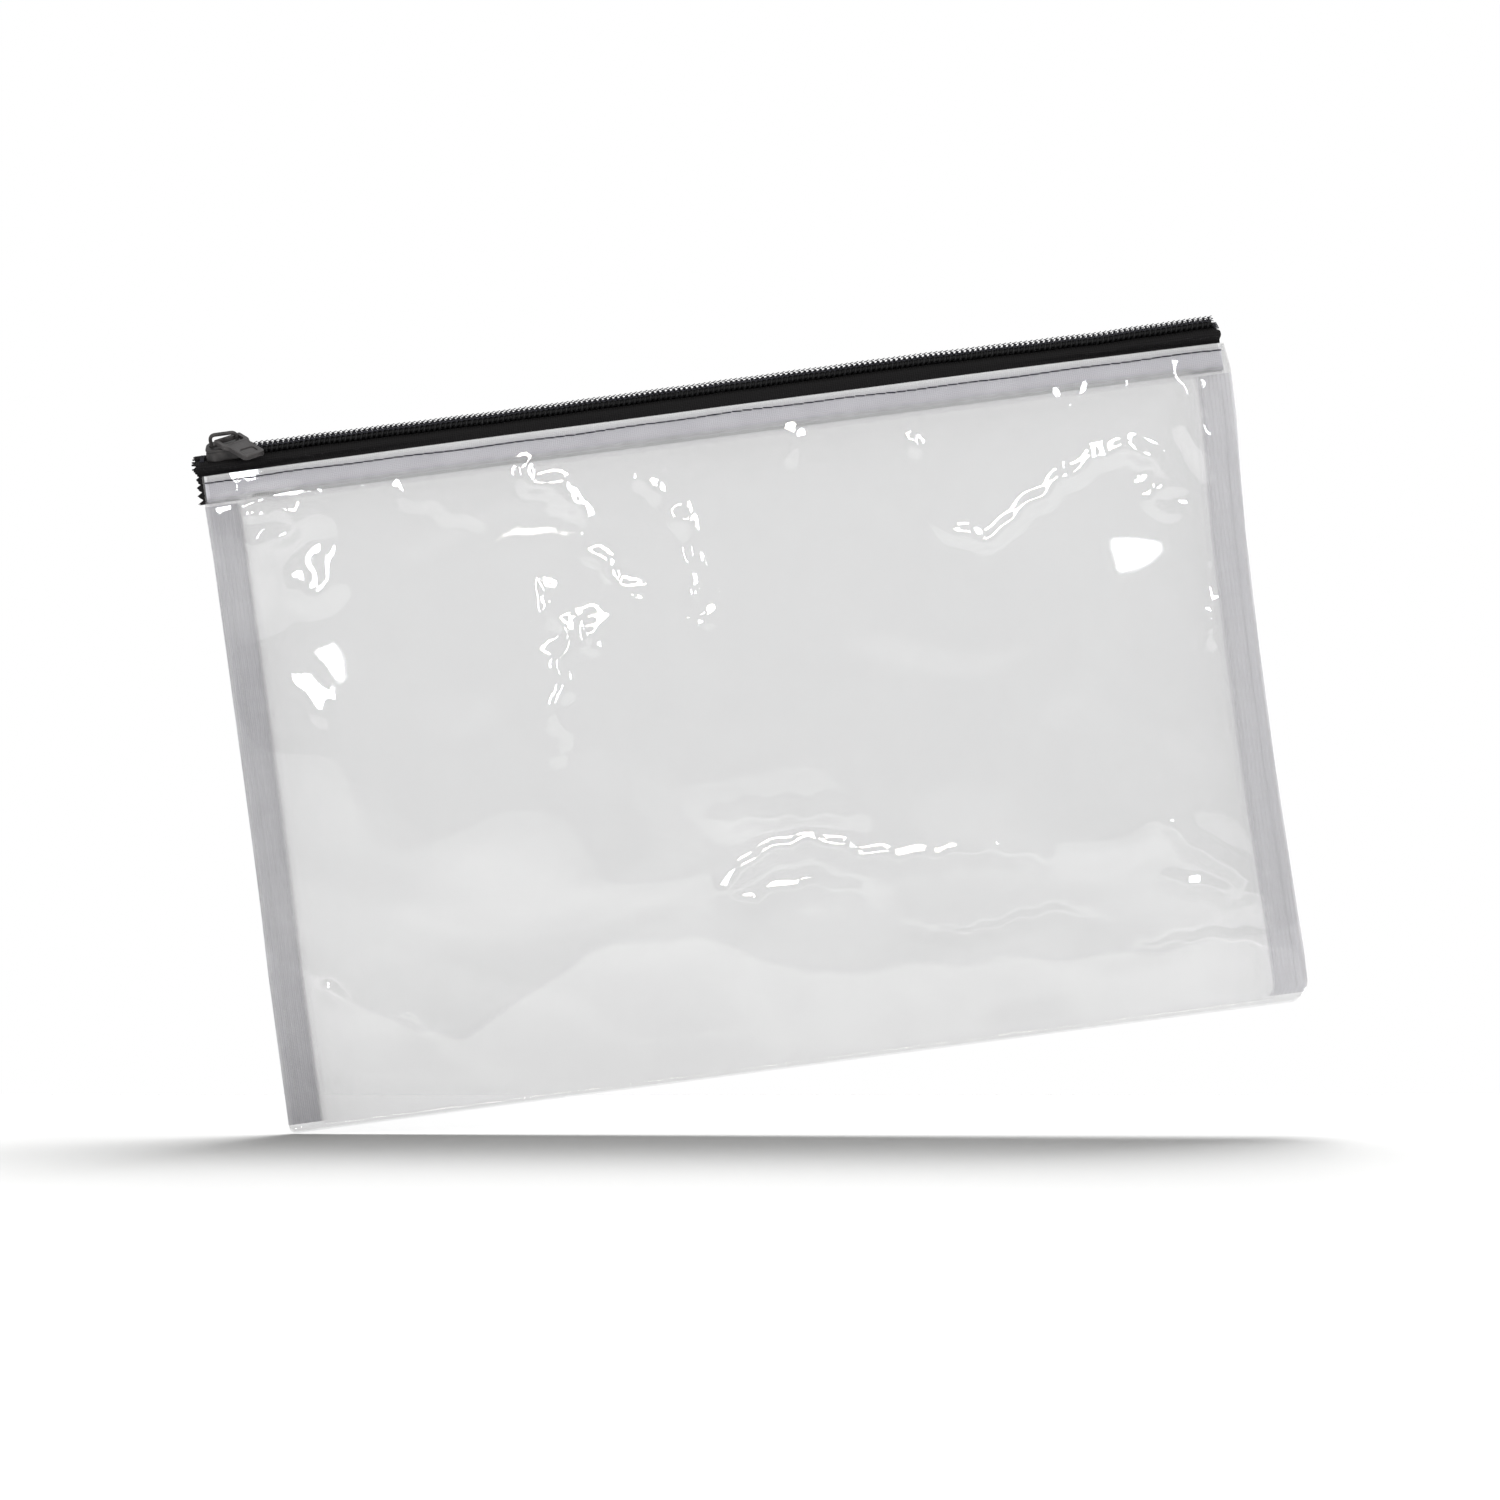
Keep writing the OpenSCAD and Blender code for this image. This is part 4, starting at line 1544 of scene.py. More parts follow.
@dataclass
class WovenParts:
    """Seam bindings and hem facings."""

    form: BagForm
    walls: FilmWalls
    growers: Growers
    binding_w: float = 11.5
    rib_pitch: float = 1.2
    rib_depth: float = 0.16
    leg_t: float = 0.3

    def binding(self, side: Side, woven: bpy.types.Material) -> bpy.types.Object:
        """Ribbed tape folded round a seam allowance, open towards the side.

        Args:
            side: which seam.
            woven: its finish.

        Returns:
            The piece.
        """
        form = self.form
        z = np.linspace(2.6, form.film_h - form.facing_h + 0.6, 110)
        outer = form.edge_x(z, side) - 0.05
        width = self.binding_w + 0.6
        front = np.linspace(0.0, width - 0.55, 84)
        turn = np.linspace(0.0, math.pi, 9)[1:-1]
        back = np.linspace(width - 0.55, 0.0, 10)
        inset = np.concatenate([front, width - 0.55 + 0.55 * np.sin(turn), back])
        middle, half = 8.2, 0.62
        depth = np.concatenate([np.full(len(front), middle - half), middle - half * np.cos(turn),
                                np.full(len(back), middle + half)])
        x = (outer[None, :] - inset[:, None]) * side.value
        y = np.broadcast_to(depth[:, None], x.shape).copy()
        y += 0.1 * np.sin(np.broadcast_to(z, x.shape) * 0.19 + inset[:, None] * 0.3)
        net = np.stack([x, y, np.broadcast_to(z, x.shape)], axis=-1)
        is_front = (np.arange(len(inset)) < len(front)).astype(float)
        ribs = -is_front[:, None] * ease(inset / 1.6)[:, None] * np.ones_like(x)
        fade = ease((inset - (width - 5.0)) / 4.9)[:, None] * np.ones_like(x)
        pressed = ease((1.6 - inset) / 0.7)[:, None] * np.ones_like(x) * 0.3
        surface = np.stack([np.broadcast_to(inset[:, None], x.shape), net[..., 2]], axis=-1) / 100.0
        if side is Side.RIGHT:
            net, ribs, fade, pressed = net[::-1], ribs[::-1], fade[::-1], pressed[::-1]
            surface = surface[::-1]
        made = shell(f"seam_binding_{side.word}", net, self.leg_t, woven, surface,
                     {"rib": ribs, "edge_fade_and_shade": fade, "pressed": pressed})
        return grow(made, self.growers.ribs, Rib_Pitch=self.rib_pitch * MM, Rib_Depth=self.rib_depth * MM,
                    Finish=woven)

    def _facing_net(self, x: np.ndarray, y_of: object, name: str,
                    woven: bpy.types.Material, turned: bool) -> bpy.types.Object:
        """A facing strip along the hem.

        Args:
            x: its columns.
            y_of: function of X and Z that gives Y of its outer face.
            name: the piece's name.
            woven: its finish.
            turned: its outer face looks to the back.

        Returns:
            The piece.
        """
        form = self.form
        z = np.linspace(form.film_h - form.facing_h, form.film_h - 0.05, 18)
        xs, zs = np.meshgrid(x, z, indexing="ij")
        ys = y_of(xs, zs)
        net = np.stack([xs, ys, zs], axis=-1)
        ribs = np.full_like(xs, 1.0 if turned else -1.0) * ease((form.stitch_z + 0.2 - zs) / 0.8)
        ripple = 0.45 * np.sin(xs * 0.9) * 0.3
        # the facing fades from dark at the stitch to clear below it: a thinning edge and painted shade
        fade = ease((form.film_h - form.facing_h + 4.6 + ripple - zs) / 4.6)
        # paler strip above the stitch; its top edge is brighter still, a painted highlight of the film's edge
        pressed = ease((zs - form.stitch_z - 0.1) / 0.35) * (0.55 + 0.45 * ease((zs - 196.0) / 0.6))
        surface = np.stack([xs, zs], axis=-1) / 100.0
        if turned:
            net, ribs, fade, pressed, surface = (v[::-1] for v in (net, ribs, fade, pressed, surface))
        made = shell(name, net, form.facing_t - 0.1, woven, surface,
                     {"rib": ribs, "edge_fade_and_shade": fade, "pressed": pressed})
        return grow(made, self.growers.ribs, Rib_Pitch=0.62 * MM, Rib_Depth=0.06 * MM, Finish=woven)

    def front_facing(self, side: Side, woven: bpy.types.Material) -> bpy.types.Object:
        """Half of the facing behind the front hem.

        Args:
            side: which half.
            woven: its finish.

        Returns:
            The piece.
        """
        form = self.form
        end = 152.1
        x = np.linspace(0.0, end, 620) if side is Side.RIGHT else np.linspace(-end, 0.0, 620)
        behind = form.film_t + 0.12
        return self._facing_net(x, lambda a, b: self.walls.front_face(a, b) + behind,
                                f"hem_facing_front_{side.word}", woven, False)

    def back_facing(self, woven: bpy.types.Material) -> bpy.types.Object:
        """The facing behind the back hem.

        Args:
            woven: its finish.

        Returns:
            The piece.
        """
        form = self.form
        x = np.linspace(-152.1, 152.1, 1000)
        inside = form.back_y - form.film_t - 0.12
        return self._facing_net(x, lambda a, b: np.full_like(a, inside), "hem_facing_back", woven, True)


# -------------------------------------------------------------------- zipper


@dataclass
class Zipper:
    """Tapes, coils, cords and threads of the zipper, in the chain's leaning frame."""

    form: BagForm
    walls: FilmWalls
    growers: Growers
    lean_deg: float = 22.0
    rise_points: tuple[tuple[float, float], ...] = (
        (-154.0, 0.0), (-135.0, 0.0), (-116.0, 0.05), (-62.0, -0.32), (-2.0, 0.0),
        (57.0, 0.25), (116.0, -0.38), (140.0, 0.0), (154.0, 0.0))
    middle_y: float = 3.35
    middle_z: float = 203.144
    coil_w: float = 2.9
    coil_h: float = 2.4
    coil_mid: float = 1.5
    pitch: float = 1.57
    filament_r: float = 0.34
    start_x: float = -145.6
    end_x: float = 150.3
    tape_start: float = -154.0
    tape_end: float = 152.0
    tape_t: float = 0.5
    tape_z: float = -1.5
    tape_inner: float = 1.3
    tape_foot_z: float = 189.0

    def wave(self, x: np.ndarray) -> np.ndarray:
        """Returns how far the chain rises at places along it, in millimetres."""
        places, rises = np.array(self.rise_points).T
        return np.interp(x, places, rises) + 0.05 * np.sin(x * 0.31)

    def placed(self, points: np.ndarray) -> np.ndarray:
        """Moves points from the chain's frame to the bag's.

        Args:
            points: along, across and above the chain.

        Returns:
            X, Y and Z in the bag's frame.
        """
        c, s = math.cos(math.radians(self.lean_deg)), math.sin(math.radians(self.lean_deg))
        made = np.empty_like(points)
        made[..., 0] = points[..., 0]
        made[..., 1] = self.middle_y + points[..., 1] * c - points[..., 2] * s
        made[..., 2] = self.middle_z + points[..., 1] * s + points[..., 2] * c + self.wave(points[..., 0])
        return made

    def _reshape(self, made: bpy.types.Object, shift: tuple[float, float, float]) -> bpy.types.Object:
        """Places a piece that was grown in the chain's frame.

        Args:
            made: the object, in metres.
            shift: its start along, across and above the chain, in millimetres.

        Returns:
            The same object.
        """
        mesh = made.data
        co = np.zeros(len(mesh.vertices) * 3, np.float32)
        mesh.vertices.foreach_get("co", co)
        points = co.reshape(-1, 3).astype(float) / MM + np.array(shift)
        mesh.vertices.foreach_set("co", (self.placed(points) * MM).astype(np.float32).ravel())
        mesh.update()
        return made

    def coil(self, name: str, across: int, start: float, end: float,
             nylon: bpy.types.Material) -> bpy.types.Object:
        """A run of the coil.

        Args:
            name: the piece's name.
            across: -1 for the front coil and 1 for the back one.
            start: where it starts along the zipper.
            end: where it ends.
            nylon: its finish.

        Returns:
            The piece.
        """
        turns = (end - start) / self.pitch
        holder = path_object(name, np.zeros((2, 3)))
        grow(holder, self.growers.coil, Turns=turns, Pitch=self.pitch * MM,
             Half_Width=(self.coil_w / 2 - self.filament_r) * MM,
             Half_Height=(self.coil_h / 2 - self.filament_r) * MM,
             Filament_Radius=self.filament_r * MM, Finish=nylon)
        shift = self.pitch * (0.25 if across > 0 else 0.0)
        made = self._reshape(holder, (start + shift, across * self.coil_mid, 0.0))
        return outward(made)

    def cord(self, name: str, across: int, start: float, end: float,
             nylon: bpy.types.Material) -> bpy.types.Object:
        """A run of the cord inside a coil.

        Args:
            name: the piece's name.
            across: -1 for the front coil and 1 for the back one.
            start: where it starts.
            end: where it ends.
            nylon: its finish.

        Returns:
            The piece.
        """
        along = np.linspace(start, end, int((end - start) / 1.5))
        profile = ring(0.5, 0.5, 10)
        lumps = 1.0 + 0.06 * np.sin(along * 4.1)
        rows = np.stack([np.broadcast_to(along[:, None], (len(along), 10)),
                         across * self.coil_mid + profile[None, :, 0] * lumps[:, None],
                         profile[None, :, 1] * lumps[:, None]], axis=-1)
        points = self.placed(rows).reshape(-1, 3)
        _, faces = swept(np.column_stack([along, along * 0, along * 0]), profile)
        return outward(piece_from(name, points, faces, nylon))

    def thread(self, name: str, across: int, start: float, end: float,
               thread: bpy.types.Material) -> bpy.types.Object:
        """The two rows of stitches that hold a coil to its tape.

        Args:
            name: the piece's name.
            across: -1 for the front coil and 1 for the back one.
            start: where they start.
            end: where they end.
            thread: its finish.

        Returns:
            The piece.
        """
        rows = []
        for row, slant in ((-0.5, 0.35), (0.5, -0.35)):
            along = np.linspace(start + 0.4, end - 0.4, 160)
            line = np.stack([along, np.full_like(along, across * self.coil_mid + row),
                             np.full_like(along, self.coil_h / 2 + 0.09)], axis=-1)
            run = path_object(f"{name}_{row}", self.placed(line))
            grow(run, self.growers.stitches, Pitch=self.pitch * MM, Stitch_Length=1.5 * MM,
                 Thread_Radius=0.13 * MM, Arch=0.03 * MM, Slant=slant, Wander=0.05, Seed=SEED, Finish=thread)
            rows.append(run)
        return outward(merged(name, rows, thread))

    def _bend(self, centre: np.ndarray, radius: float, start: float, stop: float, steps: int) -> np.ndarray:
        """Returns the points, in Y and Z, of a bend between two angles in degrees."""
        turn = np.radians(np.linspace(start, stop, steps + 1))
        return centre + radius * np.stack([np.cos(turn), np.sin(turn)], axis=-1)

    def _tape_path(self, x: float, front: bool) -> np.ndarray:
        """Middle line of a tape at one place along the zipper.

        Args:
            x: the place.
            front: for the front tape; else for the back tape.

        Returns:
            Points in Y and Z, from the chain to the tape's foot, evenly spaced.
        """
        form = self.form
        c, s = math.cos(math.radians(self.lean_deg)), math.sin(math.radians(self.lean_deg))
        sign = -1.0 if front else 1.0
        start = np.array([self.middle_y + sign * self.tape_inner * c - self.tape_z * s,
                          self.middle_z + sign * self.tape_inner * s + self.tape_z * c])
        start[1] += float(self.wave(np.array([x]))[0])
        if front:
            face_y, radius = -0.85, 1.2
            run = (start[0] - face_y - radius * (1 - s)) / c
            centre = start - run * np.array([c, s]) + radius * np.array([s, -c])
            hem_y = float(self.walls.front_face(np.array([x]), np.array([form.film_h]))[0]) + 1.25
            path = np.vstack([[start], self._bend(centre, radius, 90 + self.lean_deg, 180, 5),
                              [[face_y + (hem_y - face_y) * 0.9, form.film_h + 1.2],
                               [hem_y, form.film_h + 0.2], [hem_y, self.tape_foot_z]]])
        else:
            face_y, radius = 8.55, 0.7
            run = (face_y - radius * (1 + s) - start[0]) / c
            centre = start + run * np.array([c, s]) + radius * np.array([s, -c])
            path = np.vstack([[start], self._bend(centre, radius, 90 + self.lean_deg, 0, 6),
                              [[face_y, self.tape_foot_z]]])
        reach = np.concatenate([[0.0], np.cumsum(np.linalg.norm(np.diff(path, axis=0), axis=1))])
        even = np.linspace(0.0, reach[-1], 40)
        return np.stack([np.interp(even, reach, path[:, 0]), np.interp(even, reach, path[:, 1])], axis=-1)

    def tape(self, name: str, front: bool, start: float, end: float,
             cloth: bpy.types.Material) -> bpy.types.Object:
        """A run of tape, pinked at its left end and rounded at its right end.

        Args:
            name: the piece's name.
            front: for the front tape; else for the back tape.
            start: where it starts along the zipper.
            end: where it ends.
            cloth: its finish.

        Returns:
            The piece.
        """
        columns = int((end - start) / 1.5)
        xs = np.linspace(start, end, columns)
        paths = np.stack([self._tape_path(x, front) for x in xs])
        reach = np.linspace(0.0, 1.0, paths.shape[1])
        x = np.broadcast_to(xs[:, None], paths.shape[:2]).copy()
        teeth = 1.0 - np.abs((reach * 8.0) % 1.0 * 2.0 - 1.0)
        left = ease((self.tape_start + 6.0 - x) / 6.0)
        x += left * (1.9 * teeth - 0.9)[None, :] * (1.0 if start < -150 else 0.0)
        corner = np.clip(1.0 - reach / 0.22, 0.0, 1.0) ** 2
        right = ease((x - (self.tape_end - 5.0)) / 5.0)
        x -= right * 2.2 * corner[None, :] * (1.0 if end > 150 else 0.0)
        net = np.concatenate([x[..., None], paths], axis=-1)
        length = np.broadcast_to(reach[None, :] * 0.17, x.shape)
        surface = np.stack([x / 100.0, length], axis=-1)
        if front:
            net, surface = net[::-1], surface[::-1]
        lift = grid_normals(net) * self.tape_t / 2
        return shell(name, net + lift, self.tape_t, cloth, surface)

    def end_tack(self, name: str, x: float, thread: bpy.types.Material) -> bpy.types.Object:
        """Close stitches across both tapes at an end of the chain.

        Args:
            name: the piece's name.
            x: where they start.
            thread: its finish.

        Returns:
            The piece.
        """
        parts = []
        for i in range(4):
            across = np.linspace(-3.1, 3.1, 14)
            above = -1.0 + 0.16 * np.cos(across * 0.5) + 0.03 * np.sin(across * 3.0 + i)
            line = np.stack([np.full_like(across, x + 0.32 * i), across, above], axis=-1)
            parts.append(swept(self.placed(line), ring(0.14, 0.14, 8)))
        points, faces = joined(parts)
        return outward(piece_from(name, points, faces, thread))


def merged(name: str, parts: list[bpy.types.Object], material: bpy.types.Material) -> bpy.types.Object:
    """Puts several objects' meshes into one piece.

    Args:
        name: the piece's name.
        parts: the objects, which are used up.
        material: its finish.

    Returns:
        The piece.
    """
    shapes = []
    for part in parts:
        co = np.zeros(len(part.data.vertices) * 3, np.float32)
        part.data.vertices.foreach_get("co", co)
        shapes.append((co.reshape(-1, 3).astype(float) / MM, [tuple(p.vertices) for p in part.data.polygons]))
        bpy.data.objects.remove(part)
    points, faces = joined(shapes)
    return piece_from(name, points, faces, material)


@dataclass
class Stitching:
    """Rows of sewing on the film."""

    form: BagForm
    walls: FilmWalls
    growers: Growers
    pitch: float = 3.0
    length: float = 2.75
    radius: float = 0.2

    def hem(self, name: str, start: float, end: float, front: bool,
            thread: bpy.types.Material) -> bpy.types.Object:
        """A run of the hem stitch.

        Args:
            name: the piece's name.
            start: where it starts along the zipper.
            end: where it ends.
            front: on the front film; else on the back film.
            thread: its finish.

        Returns:
            The piece.
        """
        x = np.linspace(start, end, int((end - start) / 1.5))
        z = self.form.stitch_z + 0.22 * np.sin(x * 0.045 + 1.0) + 0.1 * np.sin(x * 0.19)
        if front:
            y = self.walls.front_face(x, z) - 0.1
        else:
            y = np.full_like(x, self.form.back_y + 0.1)
        made = path_object(name, np.stack([x, y, z], axis=-1))
        return outward(grow(made, self.growers.stitches, Pitch=self.pitch * MM,
                            Stitch_Length=self.length * MM, Thread_Radius=self.radius * MM,
                            Arch=(0.1 if front else -0.1) * MM, Slant=0.05, Wander=0.05, Seed=SEED,
                            Finish=thread))

    def seam(self, side: Side, thread: bpy.types.Material) -> bpy.types.Object:
        """The stitches that run up a side seam, on its binding.

        Args:
            side: which seam.
            thread: its finish.

        Returns:
            The piece.
        """
        z = np.linspace(6.0, self.form.hem_z - 4.0, 120)
        x = (self.form.edge_x(z, side) - 3.4) * side.value
        y = np.full_like(z, 7.36) + 0.1 * np.sin(z * 0.19 + 0.7)
        made = path_object(f"seam_stitch_{side.word}", np.stack([x, y, z], axis=-1))
        return outward(grow(made, self.growers.stitches, Pitch=self.pitch * MM,
                            Stitch_Length=2.4 * MM, Thread_Radius=0.16 * MM, Arch=0.06 * MM,
                            Slant=0.0, Wander=0.06, Seed=SEED + side.value, Finish=thread))


@dataclass
class Slider:
    """Slider and pull tab."""

    zipper: Zipper
    middle_x: float = -144.5
    length: float = 11.4
    channel_half: float = 3.3
    flange_w: float = 1.0
    upper_z: float = 1.55
    plate_t: float = 0.9
    lower_z: float = -2.05
    crown_l: float = 9.0
    crown_t: float = 1.3
    crown_top: float = 6.35
    pivot_x: float = 1.15
    pivot_z: float = 4.15
    pull_yaw: float = 34.0
    pull_droop: float = 8.5
    pull_t: float = 1.4
    head_half: float = 4.5
    end_half: float = 3.6
    pull_l: float = 16.0
    eye_l: float = 4.2

    def _outline(self, half: float) -> list[tuple[float, float]]:
        """Outline of a slider plate: shouldered nose, narrower tail.

        Args:
            half: half its width at the tail.

        Returns:
            Rounded outline.
        """
        nose = self.length / 2
        corners = [(-nose, -half + 1.9, 0.8), (-nose + 1.0, -half - 0.1, 1.2),
                   (-nose + 2.6, -half - 0.6, 1.4), (0.6, -half, 1.2), (nose, -half, 0.8),
                   (nose, half, 0.8), (0.6, half, 1.2), (-nose + 2.6, half + 0.6, 1.4),
                   (-nose + 1.0, half + 0.1, 1.2), (-nose, half - 1.9, 0.8)]
        return rounded(corners)

    def _place(self, points: np.ndarray) -> np.ndarray:
        """Moves points from the slider's frame to the bag's.

        Args:
            points: along, across and above the chain, from the slider's middle.

        Returns:
            X, Y and Z.
        """
        c, s = math.cos(math.radians(self.zipper.lean_deg)), math.sin(math.radians(self.zipper.lean_deg))
        made = np.empty_like(points)
        made[:, 0] = points[:, 0] + self.middle_x
        made[:, 1] = self.zipper.middle_y + points[:, 1] * c - points[:, 2] * s
        made[:, 2] = self.zipper.middle_z + points[:, 1] * s + points[:, 2] * c
        return made

    def body(self, paint: bpy.types.Material) -> bpy.types.Object:
        """The slider body with its crown.

        Args:
            paint: its finish.

        Returns:
            The piece.
        """
        upper = self.channel_half + self.flange_w
        parts = [plate(self._outline(upper), [], self.upper_z, self.upper_z + self.plate_t, 0.28),
                 plate(self._outline(self.channel_half), [],
                       self.lower_z - self.plate_t + 0.2, self.lower_z, 0.2)]
        for sign in (-1.0, 1.0):
            along = np.array([-5.2, -4.5, -3.1, -1.2, 0.6, 2.8, 5.0, 5.5])
            flare = np.array([-0.9, -0.25, 0.35, 0.28, 0.0, 0.0, 0.0, -0.1])
            line = np.stack([along, sign * (upper - 0.5 + flare), np.full_like(along, 0.3)], axis=-1)
            points, faces = swept(line, ring(0.5, 1.42, 16, 4.0))
            parts.append((points, faces))
        post = rounded([(-5.2, -0.6, 0.3), (-4.1, -1.1, 0.4), (-3.1, -1.1, 0.4), (-1.8, -0.2, 0.2),
                        (-1.8, 0.2, 0.2), (-3.1, 1.1, 0.4), (-4.1, 1.1, 0.4), (-5.2, 0.6, 0.3)])
        parts.append(plate(post, [], self.lower_z - 0.1, self.upper_z + 0.1, 0.05))
        half, top = self.crown_l / 2 - 0.55, self.crown_top - 0.52
        foot = self.upper_z + self.plate_t - 0.3
        corner = rounded([(-half, foot, 0.01), (-half, top, 1.7), (half, top, 1.7), (half, foot, 0.01)], 9)
        path = np.array([[x, 0.0, z] for x, z in corner if z > foot - 1e-6])
        parts.append(swept(path, ring(0.54, self.crown_t / 2, 14, 2.8)))
        rail = rounded([(-4.6, -0.62, 0.3), (4.6, -0.62, 0.3), (4.6, 0.62, 0.3), (-4.6, 0.62, 0.3)])
        parts.append(plate(rail, [], foot + 0.2, foot + 0.7, 0.15))
        points, faces = joined(parts)
        made = outward(piece_from("slider_body_cast", self._place(points), faces, paint, crease_deg=38))
        return mark_edges(made)

    def _pull_place(self, points: np.ndarray) -> np.ndarray:
        """Moves points from the pull tab's own frame to the bag's.

        Args:
            points: along, across and above the tab, from its pivot.

        Returns:
            X, Y and Z.
        """
        turn = (Matrix.Rotation(math.radians(self.pull_yaw - 90), 3, "Z")
                @ Matrix.Rotation(math.radians(self.pull_droop), 3, "Y"))
        moved = points @ np.array(turn).T + np.array([self.pivot_x, 0.0, self.pivot_z])
        return self._place(moved)

    def pull(self, paint: bpy.types.Material) -> bpy.types.Object:
        """The pull tab: eye and pivot bar, raised rim and a sunk panel at its end.

        Args:
            paint: its finish.

        Returns:
            The piece.
        """
        head, end, long = self.head_half, self.end_half, self.pull_l
        edge = [(-0.55, -head, 0.7), (self.eye_l + 0.6, -head, 1.4), (self.eye_l + 2.4, -end, 1.4),
                (long - 0.2, -end, 1.7), (long - 0.2, end, 1.7), (self.eye_l + 2.4, end, 1.4),
                (self.eye_l + 0.6, head, 1.4), (-0.55, head, 0.7)]
        inner = head - 1.2
        eye = rounded([(0.62, -inner, 0.5), (self.eye_l, -inner, 0.9), (self.eye_l, inner, 0.9),
                       (0.62, inner, 0.5)])
        sunk = rounded([(long - 5.6, -2.1, 0.7), (long - 1.9, -2.1, 0.9), (long - 1.9, 2.1, 0.9),
                        (long - 5.6, 2.1, 0.7)])
        half_t = self.pull_t / 2
        lower = plate(rounded(edge), [eye], -half_t, half_t - 0.36, 0.16)
        upper = plate(rounded(edge), [eye, sunk], half_t - 0.52, half_t - 0.06, 0.14)
        rim_corners = [(self.eye_l + 1.0, -head + 0.75, 1.2), (self.eye_l + 2.6, -end + 0.5, 1.2),
                       (long - 0.75, -end + 0.5, 1.5), (long - 0.75, end - 0.5, 1.5),
                       (self.eye_l + 2.6, end - 0.5, 1.2), (self.eye_l + 1.0, head - 0.75, 1.2)]
        rim_line = np.array([[x, y, half_t - 0.12] for x, y in rounded(rim_corners)])
        rim = swept(rim_line, ring(0.2, 0.16, 8), closed=True)
        lip_line = np.array([[x, y, half_t - 0.12] for x, y in
                             rounded([(long - 5.85, -2.35, 0.9), (long - 1.65, -2.35, 1.0),
                                      (long - 1.65, 2.35, 1.0), (long - 5.85, 2.35, 0.9)])])
        lip = swept(lip_line, ring(0.14, 0.12, 8), closed=True)
        bar = np.array([[0.0, y, 0.0] for y in np.linspace(-inner - 0.3, inner + 0.3, 9)])
        turn = ring(0.5, 0.5, 14)
        ends = len(bar)
        around = np.stack([turn[:, 0], np.zeros(len(turn)), turn[:, 1]], axis=-1)
        bar_points = (bar[:, None, :] + around[None]).reshape(-1, 3)
        along = np.column_stack([np.arange(ends), np.zeros(ends), np.zeros(ends)]).astype(float)
        _, bar_faces = swept(along, turn)
        points, faces = joined([lower, upper, rim, lip, (bar_points, bar_faces)])
        made = outward(piece_from("pull_tab_cast", self._pull_place(points), faces, paint, crease_deg=38))
        return mark_edges(made)


# -------------------------------------------------------------- studio


@dataclass(frozen=True)
class Softbox:
    """An area light that faces the bag.

    Bearing counts in degrees to the right of the camera, seen from the bag, and height in
    degrees above the bag; away and size are metres, and power is watts.
    """

    name: str
    bearing: float
    height: float
    away: float
    size: tuple[float, float]
    power: float
    colour: tuple[float, float, float]

    def set_up(self) -> bpy.types.Object:
        """Places the light.

        Returns:
            The light object.
        """
        data = bpy.data.lights.new(self.name, "AREA")
        data.shape, data.size, data.size_y = "RECTANGLE", *self.size
        data.energy, data.color = self.power, self.colour
        made = bpy.data.objects.new(self.name, data)
        bpy.context.scene.collection.objects.link(made)
        bearing, height = math.radians(self.bearing), math.radians(self.height)
        out = Vector((math.sin(bearing) * math.cos(height), -math.cos(bearing) * math.cos(height),
                      math.sin(height)))
        made.location = Vector((0.0, 0.0, 0.1)) + out * self.away
        made.rotation_mode = "QUATERNION"
        made.rotation_quaternion = (-out).to_track_quat("-Z", "Y")
        return made


SOFTBOXES = (
    Softbox("window_left", -25.5, 14.0, 1.4, (0.11, 0.28), 2.8, (0.97, 0.99, 1.0)),
    Softbox("window_right", 25.0, 19.0, 1.4, (0.16, 0.42), 6.2, (0.95, 0.98, 1.0)),
    Softbox("strip_above", 0.0, 22.0, 1.4, (0.60, 0.14), 8.0, (1.0, 0.96, 0.88)),
    Softbox("overhead", 172.0, 76.0, 1.15, (0.90, 0.90), 4.0, (1.0, 1.0, 1.0)),
)
FLOOR_LAMP = Softbox("floor_lamp", 142.0, 68.0, 1.15, (0.60, 0.60), 46.0, (1.0, 1.0, 1.0))


